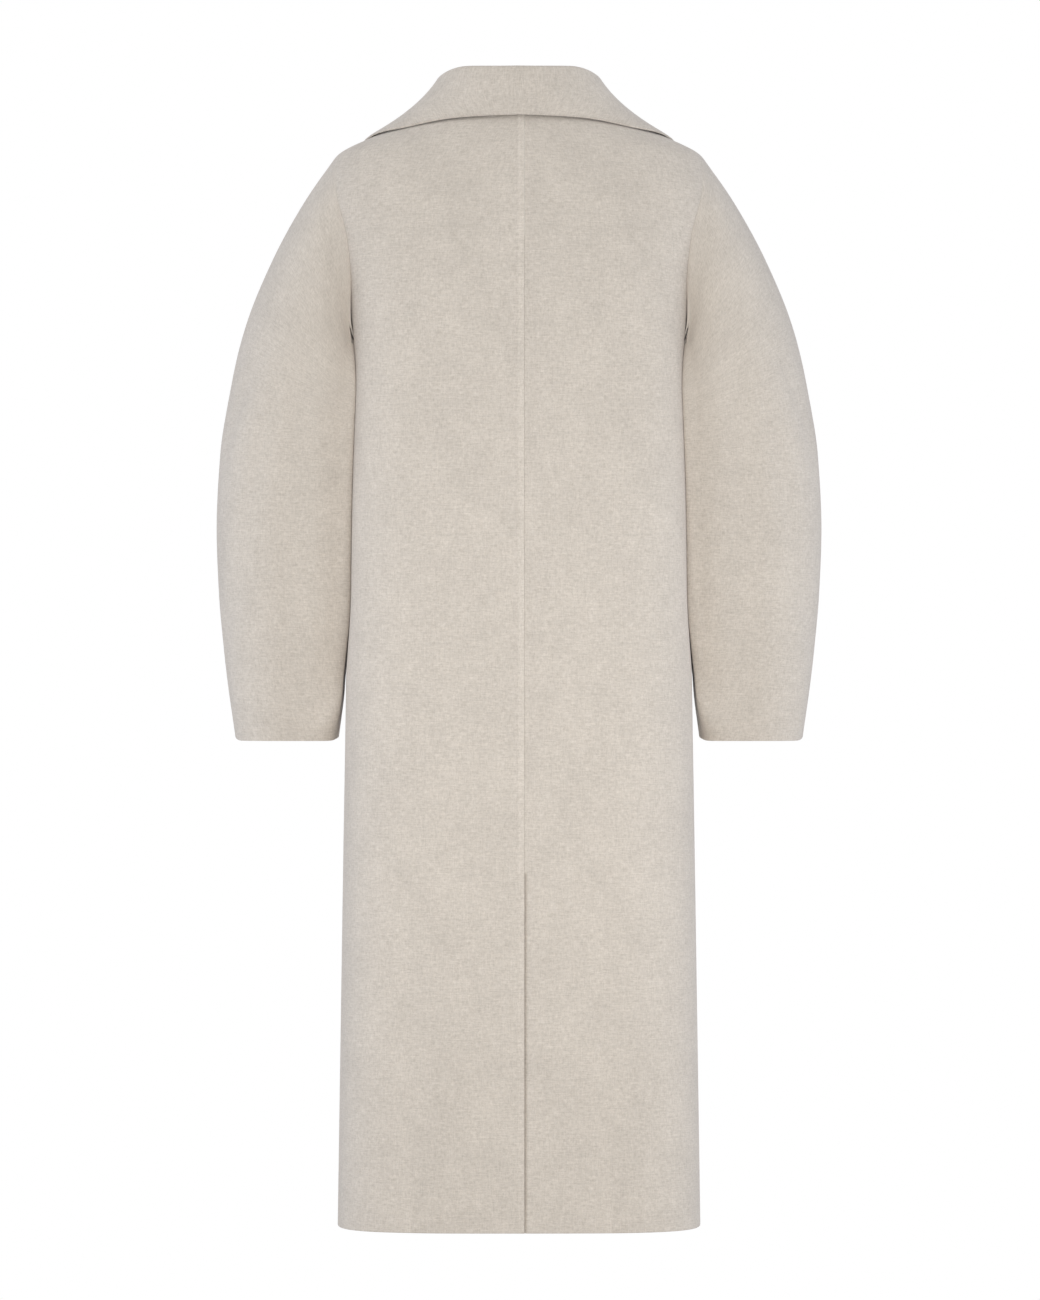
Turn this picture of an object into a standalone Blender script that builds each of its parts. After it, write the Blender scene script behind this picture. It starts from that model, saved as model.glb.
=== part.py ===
"""A long double-breasted wool coat, hollow and filled out as it hangs on a wearer.

Metres, +Z up. The front faces -Y and the wearer's left is +X. The origin is on the shoulder line,
midway between the shoulders, where a wearer carries the coat.
"""

import math
from collections import namedtuple

import bmesh
import bpy
import numpy as np

# Cloth
CLOTH = 0.0024  # thickness of the wool
SEAM = 0.0003  # gap between two sewn pieces
LAYER = 0.0012  # air between two layers that lie on each other
LAPEL_AIR = 0.0018  # air between a lapel and the front that it lies on

# Heights
HEM_Z = -1.161
VENT_TOP_Z = -0.792
BREAK_Z = -0.400  # where the lapels start to turn back
ARMPIT_Z = -0.280
GORGE_Z = -0.060  # where the collar meets the lapels on the roll line

# Back
BACK_SEAM_X = -0.0055  # the centre back seam stands a little towards the wearer's right
VENT_UNDERLAP = 0.045  # how far the right back reaches under the left below the vent's top
VENT_SINK_WIDTH = 0.018  # the right back dips over this width to pass under the left
BACK_COLUMNS, UNDERLAP_COLUMNS = 10, 3
HELD_SHARE = 0.5  # this share of a back panel's columns runs straight, and the rest gives way to the armhole

# Front
LAP = 0.111  # how far each front passes the centre line
LAP_CLEAR = 0.006  # the right front stays raised this far past the left front's edge
LAP_EASE = 0.040  # and then comes down to the body over this width
LAP_SHARE = 0.80  # the lap takes at most this share of a front's width
LAP_COLUMNS, SIDE_COLUMNS = 6, 5
CROSSING_Z, PARTED_Z = -0.155, -0.100  # the two fronts part between these heights
LAPEL_FOOT_Z, LAPEL_FULL_Z = -0.500, -0.425  # the right front rises over the left lapel between these heights

# Lapels and the notch
GORGE_X = 0.039
LAPEL_WIDTH = 0.118
LAPEL_BELLY = 1.4  # above 1, the lapel's edge bows out
LAPEL_START = 0.06  # a lapel starts this share of the roll line above the break
LAPEL_TOP_AIR = 0.0035  # extra air under the top of the roll
LAPEL_TOP_FROM = 0.80  # that air starts at this share of the roll line
LAPEL_TOP_FADE = 1.5  # above 1, that air stays near the roll
LAPEL_ROWS, LAPEL_TURN_POINTS, LAPEL_FLAT_POINTS = 12, 6, 8
COLLAR_END_CUT = 0.24  # how much of its half length the collar loses at its tip, which opens the notch
NOTCH_AT = 0.55  # the notch starts at this share of the fall's width

# Armhole: half its depth at the back and at the front
ARM_BACK = 0.075
ARM_FRONT = 0.078
ARMHOLE_GAP = 0.0008

# Buttons
BUTTON_RADIUS = 0.014
BUTTON_THICK = 0.0042
BUTTON_SHANK = 0.0014
BUTTON_X = 0.075
BUTTON_ROWS = (-0.440, -0.580, -0.720)

# The body's outer surface, from the hem up to the neck. Each row is a closed section: its side point,
# its middle back, its middle front, and how square its corners are (2 is an ellipse).
BodyRow = namedtuple("BodyRow", "side_x side_z back_y back_z front_y front_z square")
BODY = (
    BodyRow(0.1880, HEM_Z, 0.1400, HEM_Z, 0.1460, HEM_Z, 3.6),
    BodyRow(0.1825, VENT_TOP_Z, 0.1345, VENT_TOP_Z, 0.1420, VENT_TOP_Z, 3.5),
    BodyRow(0.1792, -0.5800, 0.1305, -0.5800, 0.1400, -0.5800, 3.4),
    BodyRow(0.1772, BREAK_Z, 0.1285, BREAK_Z, 0.1380, BREAK_Z, 3.4),
    BodyRow(0.1740, ARMPIT_Z, 0.1275, ARMPIT_Z, 0.1340, ARMPIT_Z, 3.6),
    BodyRow(0.1785, -0.2000, 0.1260, -0.1960, 0.1300, -0.2080, 3.4),
    BodyRow(0.1915, -0.1500, 0.1210, -0.1400, 0.1220, -0.1650, 3.1),
    BodyRow(0.2055, -0.0980, 0.1120, -0.0870, 0.1110, -0.1280, 2.8),
    BodyRow(0.1924, -0.0562, 0.1010, -0.0500, 0.1010, -0.1050, 2.3),
    BodyRow(0.1500, -0.0315, 0.0905, -0.0270, 0.0945, -0.0900, 2.1),
    BodyRow(0.0820, 0.0000, 0.0780, -0.0060, 0.0880, -0.0775, 2.0),
)
VENT_LEVEL, ARMPIT_LEVEL, SHOULDER_LEVEL, NECK_LEVEL = 1.0, 4.0, 8.0, 10.0
ARM_MIDDLE_LEVEL = (ARMPIT_LEVEL + SHOULDER_LEVEL) / 2
ARM_HALF_LEVELS = (SHOULDER_LEVEL - ARMPIT_LEVEL) / 2
UNDERLAP_TOP_LEVEL = 0.93

# The sleeve presses the body's flank in a little where it hangs against it
PRESS = 0.005
PRESS_Y, PRESS_HALF_WIDTH = -0.006, 0.065
PRESS_TOP_Z, PRESS_FULL_Z = -0.225, -0.275
PRESS_FADE_Z, PRESS_END_Z = -0.500, -0.600

# The sleeve's sections, from the armhole to the cuff: its outer point, the height of its inner point
# and how far that stays off the body's flank, half its depth and its middle.
SleeveRow = namedtuple("SleeveRow", "outer_x outer_z inner_z inner_gap half_depth middle_y")
SLEEVE = (
    SleeveRow(0.1924, -0.0562, ARMPIT_Z, 0.0008, 0.0760, 0.0000),
    SleeveRow(0.2215, -0.0980, -0.2840, 0.0009, 0.0820, 0.0000),
    SleeveRow(0.2558, -0.1600, -0.2910, 0.0010, 0.0850, -0.0010),
    SleeveRow(0.2808, -0.2226, -0.3020, 0.0012, 0.0860, -0.0030),
    SleeveRow(0.2985, -0.2900, -0.3250, 0.0014, 0.0860, -0.0060),
    SleeveRow(0.3110, -0.3620, -0.3720, 0.0016, 0.0850, -0.0110),
    SleeveRow(0.3151, -0.4400, -0.4400, 0.0016, 0.0830, -0.0170),
    SleeveRow(0.3130, -0.5050, -0.5050, 0.0016, 0.0800, -0.0220),
    SleeveRow(0.3085, -0.5600, -0.5600, 0.0014, 0.0760, -0.0270),
    SleeveRow(0.3035, -0.6060, -0.6060, 0.0028, 0.0710, -0.0320),
    SleeveRow(0.2964, -0.6604, -0.6604, 0.0084, 0.0630, -0.0380),
)
SLEEVE_SQUARE = 2.2  # how square the outer half of a section is
SLEEVE_INNER_SQUARE = 4.5  # the inner half lies flat against the body
SLEEVE_FADE = 3.0  # rows over which the sleeve leaves the armhole's shape

# The collar from the centre back to the gorge: where it sits on the neck edge, its stand, the radius of
# its roll, where the fall's edge lies on the body, how steeply the fall leaves the roll, and the air under
# the fall's edge.
CollarRow = namedtuple("CollarRow", "neck_angle stand roll edge_level edge_angle leave edge_air")
COLLAR = (
    CollarRow(0, 0.0415, 0.0055, 9.30, 0, 78, 0.0018),
    CollarRow(40, 0.0402, 0.0055, 9.15, 42, 74, 0.0018),
    CollarRow(70, 0.0315, 0.0055, 8.95, 70, 60, 0.0018),
    CollarRow(90, 0.0228, 0.0055, 8.78, 90, 47, 0.0028),
    CollarRow(120, 0.0165, 0.0052, 8.40, 114, 24, 0.0042),
    CollarRow(153.3, 0.0085, 0.0048, 7.89, 126.1, 8, 0.0018),
)
COLLAR_LEAN = 0.002
COLLAR_END = 4.985  # just short of the last row, which is the gorge seam
COLLAR_TIP_ROW = 3  # from this row on, the stand leans over towards the front
COLLAR_STEPS = 11
STAND_POINTS, ROLL_POINTS, FALL_POINTS = 3, 6, 7
FALL_PULL = 0.45  # the fall keeps its first direction for this share of its width

SMALL_STEP = 1e-3  # for slopes
SEARCH_ROUNDS = 40


def ramp(value, start, end):
    """0 at start and 1 at end, with soft ends."""
    share = np.clip((np.asarray(value, float) - start) / (end - start), 0.0, 1.0)
    return share * share * (3.0 - 2.0 * share)


def between_rows(table, level):
    """The table's columns at a level between its rows, smooth and never past a row."""
    values = np.array(table, float)
    level = np.clip(np.asarray(level, float), 0.0, len(values) - 1.0)
    row = np.minimum(level.astype(int), len(values) - 2)
    share = (level - row)[..., None]
    slope = np.diff(values, axis=0)
    same_way = slope[:-1] * slope[1:]
    total = slope[:-1] + slope[1:]
    tangent = np.empty_like(values)
    tangent[0], tangent[-1] = slope[0], slope[-1]
    tangent[1:-1] = np.where(same_way > 0, 2 * same_way / np.where(total == 0, 1, total), 0)
    rise = share * share * (3 - 2 * share)
    lead = share * (1 - share) ** 2
    trail = share * share * (share - 1)
    return values[row] * (1 - rise) + values[row + 1] * rise + tangent[row] * lead + tangent[row + 1] * trail


def body_columns(level):
    """The body's columns at each level."""
    return np.moveaxis(between_rows(BODY, level), -1, 0)


def body_point(level, angle):
    """A point of the left half. The angle is 0 at the middle back, 90 degrees at the side, 180 in front."""
    side_x, side_z, back_y, back_z, front_y, front_z, square = body_columns(level)
    sine, cosine = np.sin(angle), np.cos(angle)
    half_y = np.where(cosine >= 0, back_y, front_y)
    middle_z = np.where(cosine >= 0, back_z, front_z)
    reach = (np.abs(sine / side_x) ** square + np.abs(cosine / half_y) ** square) ** (-1 / square)
    x, y = reach * sine, reach * cosine
    z = side_z + (middle_z - side_z) * (y / half_y) ** 2
    pressed = ramp(z, PRESS_END_Z, PRESS_FADE_Z) * (1 - ramp(z, PRESS_FULL_Z, PRESS_TOP_Z))
    pressed = pressed * np.exp(-(((y - PRESS_Y) / PRESS_HALF_WIDTH) ** 4))
    return np.stack([x - np.sign(sine) * PRESS * pressed, y, z], axis=-1)


def unit(vectors):
    """The vectors at a length of 1."""
    return vectors / np.linalg.norm(vectors, axis=-1, keepdims=True)


def body_normal(level, angle):
    """The direction out of the body's surface."""
    step = SMALL_STEP
    above, below = np.minimum(level + step, NECK_LEVEL), np.maximum(level - step, 0)
    rise = body_point(above, angle) - body_point(below, angle)
    turn = body_point(level, angle + step) - body_point(level, angle - step)
    return unit(np.cross(rise, turn))


def off_body(level, angle, height):
    """A point at a height over the body's surface."""
    return body_point(level, angle) + body_normal(level, angle) * np.asarray(height)[..., None]


def angle_at_x(level, x, front):
    """The angle of the front's or the back's point that has this x."""
    side_x, _, back_y, _, front_y, _, square = body_columns(level)
    share = np.clip(1 - (np.abs(x) / side_x) ** square, 0, 1) ** (1 / square)
    turn = np.arctan2(x, share * (front_y if front else back_y))
    return math.pi - turn if front else turn


def angle_at_y(level, y, front):
    """The angle of the point that is this far in front of the side line, or behind it."""
    side_x, _, back_y, _, front_y, _, square = body_columns(level)
    half_y = front_y if front else back_y
    x = side_x * np.clip(1 - (y / half_y) ** square, 0, 1) ** (1 / square)
    return math.pi / 2 + np.arctan2(y, x) * (1 if front else -1)


def front_at(x, z):
    """Level and angle of the front's point that has this x and z."""
    low, high = np.zeros_like(x), np.full_like(x, NECK_LEVEL)
    for _ in range(SEARCH_ROUNDS):
        level = (low + high) / 2
        below = body_point(level, angle_at_x(level, x, True))[..., 2] < z
        low, high = np.where(below, level, low), np.where(below, high, level)
    return level, angle_at_x(level, x, True)


def flank_x(z):
    """Half the body's width at the side seam, at heights below the armpit."""
    low, high = np.zeros_like(z), np.full_like(z, ARMPIT_LEVEL)
    side = np.full_like(z, math.pi / 2)
    for _ in range(SEARCH_ROUNDS):
        level = (low + high) / 2
        below = body_point(level, side)[..., 2] < z
        low, high = np.where(below, level, low), np.where(below, high, level)
    return body_point(level, side)[..., 0]


def arm_depth(level, deepest):
    """How far the armhole's edge stands from the side line, 0 at the armpit and at the shoulder."""
    share = (np.asarray(level) - ARM_MIDDLE_LEVEL) / ARM_HALF_LEVELS
    return deepest * np.sqrt(np.clip(1 - share * share, 0, 1))


def right_lift(x, z):
    """How far the right front stands off the body, to pass over the left front and its lapel."""
    landing = LAP + LAP_CLEAR
    across = 1 - ramp(x, landing, landing + LAP_EASE)
    above_crossing = ramp(z, CROSSING_Z, PARTED_Z)
    over_front = CLOTH + LAYER
    over_lapel = (CLOTH + LAPEL_AIR + LAYER) * ramp(z, LAPEL_FOOT_Z, LAPEL_FULL_Z)
    return across * (over_front + over_lapel) * (1 - above_crossing)


def front_lift(side, x, z):
    """How far the front of one side stands off the body. The left one lies on it."""
    return right_lift(x, z) if side < 0 else np.zeros_like(x)


MIRROR = {1: np.array([1.0, 1.0, 1.0]), -1: np.array([-1.0, 1.0, 1.0])}


def material(name, colour, roughness):
    """A plain finish of one colour."""
    made = bpy.data.materials.new(name)
    made.use_nodes = True
    shader = made.node_tree.nodes["Principled BSDF"]
    shader.inputs["Base Color"].default_value = (*colour, 1.0)
    shader.inputs["Roughness"].default_value = roughness
    return made


def add_mesh(name, mesh_edit, finish):
    """A named object from a finished mesh, with its faces pointing out."""
    bmesh.ops.recalc_face_normals(mesh_edit, faces=mesh_edit.faces)
    mesh = bpy.data.meshes.new(name)
    mesh_edit.to_mesh(mesh)
    mesh_edit.free()
    mesh.materials.append(finish)
    made = bpy.data.objects.new(name, mesh)
    bpy.context.scene.collection.objects.link(made)
    return made


def add_shell(name, face, back, finish, present=None, tube=False):
    """A cloth wall between two grids of points. A tube's last column joins its first.

    Each cell is split along its shorter diagonal, the same way on both faces of the wall.
    """
    rows, columns = face.shape[:2]
    cells = np.ones((rows - 1, columns if tube else columns - 1), bool) if present is None else present
    edit = bmesh.new()
    made = {}

    def corner(grid, row, column):
        key = (grid is face, row, column % columns)
        if key not in made:
            made[key] = edit.verts.new(grid[key[1], key[2]])
        return made[key]

    def has(row, column):
        if tube:
            column %= cells.shape[1]
        return 0 <= row < cells.shape[0] and 0 <= column < cells.shape[1] and cells[row, column]

    for row, column in zip(*np.nonzero(cells)):
        row, column = int(row), int(column)
        ring = ((row, column), (row, column + 1), (row + 1, column + 1), (row + 1, column))
        beyond = ((row - 1, column), (row, column + 1), (row + 1, column), (row, column - 1))
        first, second, third, fourth = (corner(face, *place).co for place in ring)
        turned = ring if (third - first).length <= (fourth - second).length else ring[1:] + ring[:1]
        for grid in (face, back):
            edit.faces.new([corner(grid, *turned[step]) for step in (0, 1, 2)])
            edit.faces.new([corner(grid, *turned[step]) for step in (0, 2, 3)])
        for step in range(4):
            if not has(*beyond[step]):
                start, end = ring[step], ring[(step + 1) % 4]
                rim = ((face, end), (face, start), (back, start), (back, end))
                edit.faces.new([corner(grid, *place) for grid, place in rim])
    return add_mesh(name, edit, finish)


ARM_STEPS = 10
VENT_LEVELS = (0, 0.16, 0.32, 0.48, 0.64, 0.79, UNDERLAP_TOP_LEVEL, VENT_LEVEL)
WAIST_LEVELS = (1.33, 1.67, 2, 2.33, 2.67, 3, 3.2, 3.4, 3.6, 3.8)
ARM_TURNS = np.arange(ARM_STEPS + 1) * math.pi / ARM_STEPS
ARM_LEVELS = tuple(ARM_MIDDLE_LEVEL - ARM_HALF_LEVELS * np.cos(ARM_TURNS))
UPPER_LEVELS = (8.3, 8.6, 8.9, 9.2, 9.6, NECK_LEVEL)
LEVELS = np.array(VENT_LEVELS + WAIST_LEVELS + ARM_LEVELS + UPPER_LEVELS)


def outer_edge(front):
    """The angle of a panel's outer edge at each level: side seam, armhole, shoulder seam."""
    depth = arm_depth(LEVELS, ARM_FRONT if front else ARM_BACK)
    free = (LEVELS < ARMPIT_LEVEL) | (LEVELS > SHOULDER_LEVEL)
    return angle_at_y(LEVELS, np.where(free, SEAM / 2, np.maximum(depth, SEAM / 2)), front)


def spread(start, end, columns):
    """Grids of level and angle, from the start angle to the end angle of each level."""
    share = np.linspace(0, 1, columns + 1)
    hold = start + (math.pi / 2 - start) * HELD_SHARE
    inner = start[:, None] + (hold - start)[:, None] * share / HELD_SHARE
    outer = hold[:, None] + (end - hold)[:, None] * (share - HELD_SHARE) / (1 - HELD_SHARE)
    return np.repeat(LEVELS[:, None], columns + 1, axis=1), np.where(share <= HELD_SHARE, inner, outer)


def add_back(side, finish):
    """A back panel. The right one goes on under the left below the top of the vent."""
    seam_x = side * BACK_SEAM_X + SEAM / 2
    level, angle = spread(angle_at_x(LEVELS, seam_x, False), outer_edge(False), BACK_COLUMNS)
    present = None
    height = np.zeros_like(level)
    if side < 0:
        under_x = np.linspace(seam_x - VENT_UNDERLAP, seam_x, UNDERLAP_COLUMNS + 1)
        sink_x = seam_x + VENT_SINK_WIDTH * np.array((0.5, 1.0))
        inner = [angle_at_x(LEVELS, x, False) for x in (*under_x, *sink_x)]
        angle = np.concatenate([np.stack(inner, axis=1), angle[:, len(sink_x) :]], axis=1)
        level = np.repeat(LEVELS[:, None], angle.shape[1], axis=1)
        present = np.ones((len(LEVELS) - 1, angle.shape[1] - 1), bool)
        present[:, :UNDERLAP_COLUMNS] = LEVELS[1:, None] <= UNDERLAP_TOP_LEVEL
        x = body_point(level, angle)[..., 0]
        open_below = 1 - ramp(level, UNDERLAP_TOP_LEVEL, VENT_LEVEL)
        height = -(CLOTH + LAYER) * (1 - ramp(x, seam_x, sink_x[-1])) * open_below
    name = "back_left" if side > 0 else "back_right"
    face, back = off_body(level, angle, height), off_body(level, angle, height - CLOTH)
    return add_shell(name, face * MIRROR[side], back * MIRROR[side], finish, present)


def front_edge():
    """The angle of a front's free edge at each level: straight below the break, then along the roll line."""
    z = BodyRow(*body_columns(LEVELS)).front_z
    for _ in range(SEARCH_ROUNDS):
        x = np.interp(z, (BREAK_Z, GORGE_Z), (-LAP, GORGE_X))
        angle = angle_at_x(LEVELS, x, True)
        z = body_point(LEVELS, angle)[:, 2]
    return angle


def add_front(side, finish):
    """A front panel. Inside the lap, its columns stand at the same x on both sides of the centre line."""
    side_edge, free_edge = outer_edge(True), front_edge()
    side_x, free_x = body_point(LEVELS, side_edge)[:, 0], body_point(LEVELS, free_edge)[:, 0]
    lap_x = np.minimum(LAP, free_x + LAP_SHARE * (side_x - free_x))
    lap_shares = np.linspace(0, 1, LAP_COLUMNS + 1)
    side_shares = np.linspace(0, 1, SIDE_COLUMNS + 1)[1:]
    lapped = [angle_at_x(LEVELS, free_x + (lap_x - free_x) * share, True) for share in lap_shares]
    beside = [lapped[-1] + (side_edge - lapped[-1]) * share for share in side_shares]
    angle = np.stack(lapped + beside, axis=1)
    level = np.repeat(LEVELS[:, None], angle.shape[1], axis=1)
    point = body_point(level, angle)
    height = front_lift(side, point[..., 0], point[..., 2])
    name = "front_left" if side > 0 else "front_right"
    face, back = off_body(level, angle, height), off_body(level, angle, height - CLOTH)
    return add_shell(name, face * MIRROR[side], back * MIRROR[side], finish)


def sleeve_ring(row, turn):
    """A plain sleeve section. The turn is 0 at the inner side, 90 degrees at the back, 180 outside."""
    outer_x, outer_z, inner_z, inner_gap, half_depth, middle_y = np.moveaxis(between_rows(SLEEVE, row), -1, 0)
    inner_x = flank_x(inner_z) + inner_gap
    cosine, sine = np.cos(turn), np.sin(turn)
    square = np.where(cosine > 0, SLEEVE_INNER_SQUARE, SLEEVE_SQUARE)
    reach = (np.abs(cosine) ** square + np.abs(sine) ** square) ** (-1 / square)
    out = (1 - reach * cosine) / 2
    x = inner_x + (outer_x - inner_x) * out
    z = inner_z + (outer_z - inner_z) * out
    return np.stack([x, middle_y + half_depth * reach * sine, z], axis=-1)


def armhole_point(turn):
    """A point of the armhole's edge, just clear of the body. The turn is the sleeve's."""
    level = ARM_MIDDLE_LEVEL - ARM_HALF_LEVELS * np.cos(turn)
    back = angle_at_y(level, arm_depth(level, ARM_BACK), False)
    front = angle_at_y(level, arm_depth(level, ARM_FRONT), True)
    point = body_point(level, np.where(np.sin(turn) >= 0, back, front))
    return point + np.array([ARMHOLE_GAP, 0, 0])


def sleeve_point(row, turn):
    """A point of the sleeve, which starts in the armhole's shape and takes its own over the first rows."""
    start = np.zeros_like(row)
    leave = (1 - ramp(row, 0, SLEEVE_FADE))[..., None]
    return sleeve_ring(row, turn) + leave * (armhole_point(turn) - sleeve_ring(start, turn))


def sleeve_normal(row, turn):
    """The direction out of the sleeve's surface."""
    step = SMALL_STEP
    last = len(SLEEVE) - 1.0
    down = sleeve_point(np.minimum(row + step, last), turn) - sleeve_point(np.maximum(row - step, 0), turn)
    around = sleeve_point(row, turn + step) - sleeve_point(row, turn - step)
    return unit(np.cross(around, down))


SLEEVE_ROWS = (0, 0.3, 0.7, 1.2, 1.8, 2.5, 3.2, 4, 5, 6, 7, 8, 9, 10)


def add_sleeve(side, finish):
    """A sleeve, a tube from the armhole to the open cuff."""
    turns = np.arange(2 * ARM_STEPS) * math.pi / ARM_STEPS
    row, turn = np.meshgrid(np.array(SLEEVE_ROWS, float), turns, indexing="ij")
    face = sleeve_point(row, turn)
    back = face - CLOTH * sleeve_normal(row, turn)
    name = "sleeve_left" if side > 0 else "sleeve_right"
    return add_shell(name, face * MIRROR[side], back * MIRROR[side], finish, tube=True)


def collar_profile(place):
    """Points across the collar at places between its rows: up the stand, over the roll, down the fall."""
    columns = np.moveaxis(between_rows(COLLAR, place), -1, 0)
    neck_angle, stand, roll, edge_level, edge_angle, leave, edge_air = columns
    neck_angle, edge_angle, leave = np.radians(neck_angle), np.radians(edge_angle), np.radians(leave)
    top = np.full_like(place, NECK_LEVEL)
    neck = body_point(top, neck_angle)
    edge = off_body(edge_level, edge_angle, CLOTH + edge_air)
    gorge = len(COLLAR) - 1.0
    tip = ramp(place, COLLAR_TIP_ROW, gorge)[..., None]
    up = unit((1 - tip) * np.array([0.0, 0.0, 1.0]) + tip * body_normal(top, neck_angle))
    reach = edge - neck
    out = unit(reach - (reach * up).sum(-1, keepdims=True) * up)
    edge_out, edge_up = (reach * out).sum(-1), (reach * up).sum(-1)
    across, rise = [], []
    for share in np.linspace(0, 1, STAND_POINTS, endpoint=False):
        across.append(-CLOTH - COLLAR_LEAN * share + 0 * place)
        rise.append(SEAM + (stand - roll - SEAM) * share)
    for share in np.linspace(0, 1, ROLL_POINTS):
        turn = math.pi + (-math.pi / 2 - leave) * share
        across.append(roll - CLOTH - COLLAR_LEAN + roll * np.cos(turn))
        rise.append(stand - roll + roll * np.sin(turn))
    start_out, start_up = across[-1], rise[-1]
    pull = FALL_PULL * np.hypot(edge_out - start_out, edge_up - start_up)
    bend_out, bend_up = start_out + pull * np.cos(leave), start_up - pull * np.sin(leave)
    for share in np.linspace(0, 1, FALL_POINTS)[1:]:
        early, middle, late = (1 - share) ** 2, 2 * share * (1 - share), share * share
        across.append(early * start_out + middle * bend_out + late * edge_out)
        rise.append(early * start_up + middle * bend_up + late * edge_up)
    across, rise = np.stack(across)[..., None], np.stack(rise)[..., None]
    return neck + across * out + rise * up


def add_collar(finish):
    """The collar: one wall from the stand's foot over the roll to the fall's edge, notched at each end."""
    half = np.linspace(0, 1, COLLAR_STEPS + 1)
    fall_share = np.zeros(STAND_POINTS + ROLL_POINTS + FALL_POINTS - 1)
    fall_share[-FALL_POINTS:] = np.linspace(0, 1, FALL_POINTS)
    cut = COLLAR_END_CUT * np.clip((fall_share - NOTCH_AT) / (1 - NOTCH_AT), 0, 1)
    columns = [collar_profile(half * COLLAR_END * (1 - loss))[index] for index, loss in enumerate(cut)]
    left = np.stack(columns, axis=1)
    right = left[:0:-1] * MIRROR[-1]
    face = np.concatenate([right, left])
    along = np.gradient(face, axis=0)
    across = np.gradient(face, axis=1)
    back = face - CLOTH * unit(np.cross(along, across))
    return add_shell("collar", face, back, finish)


def add_lapel(side, finish):
    """A lapel: the front's cloth turned round the roll line and laid back over the front."""
    share = np.linspace(LAPEL_START, 1, LAPEL_ROWS)
    roll_x, roll_z = -LAP + (GORGE_X + LAP) * share, BREAK_Z + (GORGE_Z - BREAK_Z) * share
    length = math.hypot(GORGE_X + LAP, GORGE_Z - BREAK_Z)
    out_x, out_z = (GORGE_Z - BREAK_Z) / length, -(GORGE_X + LAP) / length
    width = LAPEL_WIDTH * (1 - (1 - share) ** LAPEL_BELLY)
    air = LAPEL_AIR + LAPEL_TOP_AIR * ramp(share, LAPEL_TOP_FROM, 1.0)

    def on_front(x, z, height):
        level, angle = front_at(x, z)
        return off_body(level, angle, front_lift(side, x, z) + height)

    edge = on_front(roll_x, roll_z, 0 * share)
    normal = unit(on_front(roll_x, roll_z, 0 * share + SMALL_STEP) - edge)
    out = unit(on_front(roll_x + SMALL_STEP * out_x, roll_z + SMALL_STEP * out_z, 0 * share) - edge)
    face, back = [], []
    radius = CLOTH + air / 2
    for turn in np.linspace(1.5 * math.pi, 0.5 * math.pi, LAPEL_TURN_POINTS):
        for grid, reach in ((face, radius), (back, radius - CLOTH)):
            across = -SEAM + reach * math.cos(turn)
            rise = radius - CLOTH + reach * math.sin(turn)
            grid.append(edge + across[:, None] * out + rise[:, None] * normal)
    for part in np.linspace(0, 1, LAPEL_FLAT_POINTS)[1:]:
        x, z = roll_x + part * width * out_x, roll_z + part * width * out_z
        height = LAPEL_AIR + (air - LAPEL_AIR) * (1 - part) ** LAPEL_TOP_FADE
        face.append(on_front(x, z, height + CLOTH))
        back.append(on_front(x, z, height))
    name = "lapel_left" if side > 0 else "lapel_right"
    face, back = np.stack(face, axis=1), np.stack(back, axis=1)
    return add_shell(name, face * MIRROR[side], back * MIRROR[side], finish)


# A button's outline from the middle of its back round to the middle of its face: share of radius and
# share of thickness.
ButtonRow = namedtuple("ButtonRow", "radius height")
BUTTON = (
    ButtonRow(0.55, 0.00),
    ButtonRow(0.90, 0.22),
    ButtonRow(1.00, 0.55),
    ButtonRow(0.95, 0.90),
    ButtonRow(0.84, 1.00),
    ButtonRow(0.70, 0.76),
)
BUTTON_SEGMENTS = 20


def add_button(name, x, z, finish):
    """A dished button on the right front, its back a shank's height off the cloth."""
    own_x, own_z = np.array([-x]), np.array([z])
    level, angle = front_at(own_x, own_z)
    lift = front_lift(-1, own_x, own_z)
    middle = off_body(level, angle, lift + BUTTON_SHANK)[0] * MIRROR[-1]
    axis = body_normal(level, angle)[0] * MIRROR[-1]
    sideways = unit(np.cross(np.array([0.0, 0.0, 1.0]), axis))
    upwards = np.cross(axis, sideways)
    edit = bmesh.new()
    rings = []
    for row in BUTTON:
        ring = []
        for step in range(BUTTON_SEGMENTS):
            turn = 2 * math.pi * step / BUTTON_SEGMENTS
            spoke = math.cos(turn) * sideways + math.sin(turn) * upwards
            place = middle + spoke * row.radius * BUTTON_RADIUS + axis * row.height * BUTTON_THICK
            ring.append(edit.verts.new(place))
        rings.append(ring)
    for low, high in zip(rings, rings[1:]):
        for step in range(BUTTON_SEGMENTS):
            after = (step + 1) % BUTTON_SEGMENTS
            edit.faces.new((low[step], low[after], high[after], high[step]))
    edit.faces.new(rings[0])
    edit.faces.new(rings[-1])
    return add_mesh(name, edit, finish)


def main():
    """Clears the scene and makes every piece of the coat."""
    for found in list(bpy.data.objects):
        bpy.data.objects.remove(found)
    wool = material("wool", (0.60, 0.55, 0.48), 0.9)
    horn = material("horn", (0.46, 0.39, 0.31), 0.45)
    for side in (1, -1):
        add_back(side, wool)
        add_front(side, wool)
        add_sleeve(side, wool)
        add_lapel(side, wool)
    add_collar(wool)
    for column, x in (("left", BUTTON_X), ("right", -BUTTON_X)):
        for row, z in enumerate(BUTTON_ROWS, start=1):
            add_button(f"button_{column}_{row}", x, z, horn)


main()
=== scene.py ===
"""Dresses the coat: fine wool shells on the cloth solids, horn buttons, worked buttonholes, light and camera.

Metres, +Z up. The front faces -Y and the wearer's left is +X.
"""

import logging
import math
from collections.abc import Callable, Sequence
from dataclasses import dataclass
from enum import Enum
from typing import NamedTuple, Protocol

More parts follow.
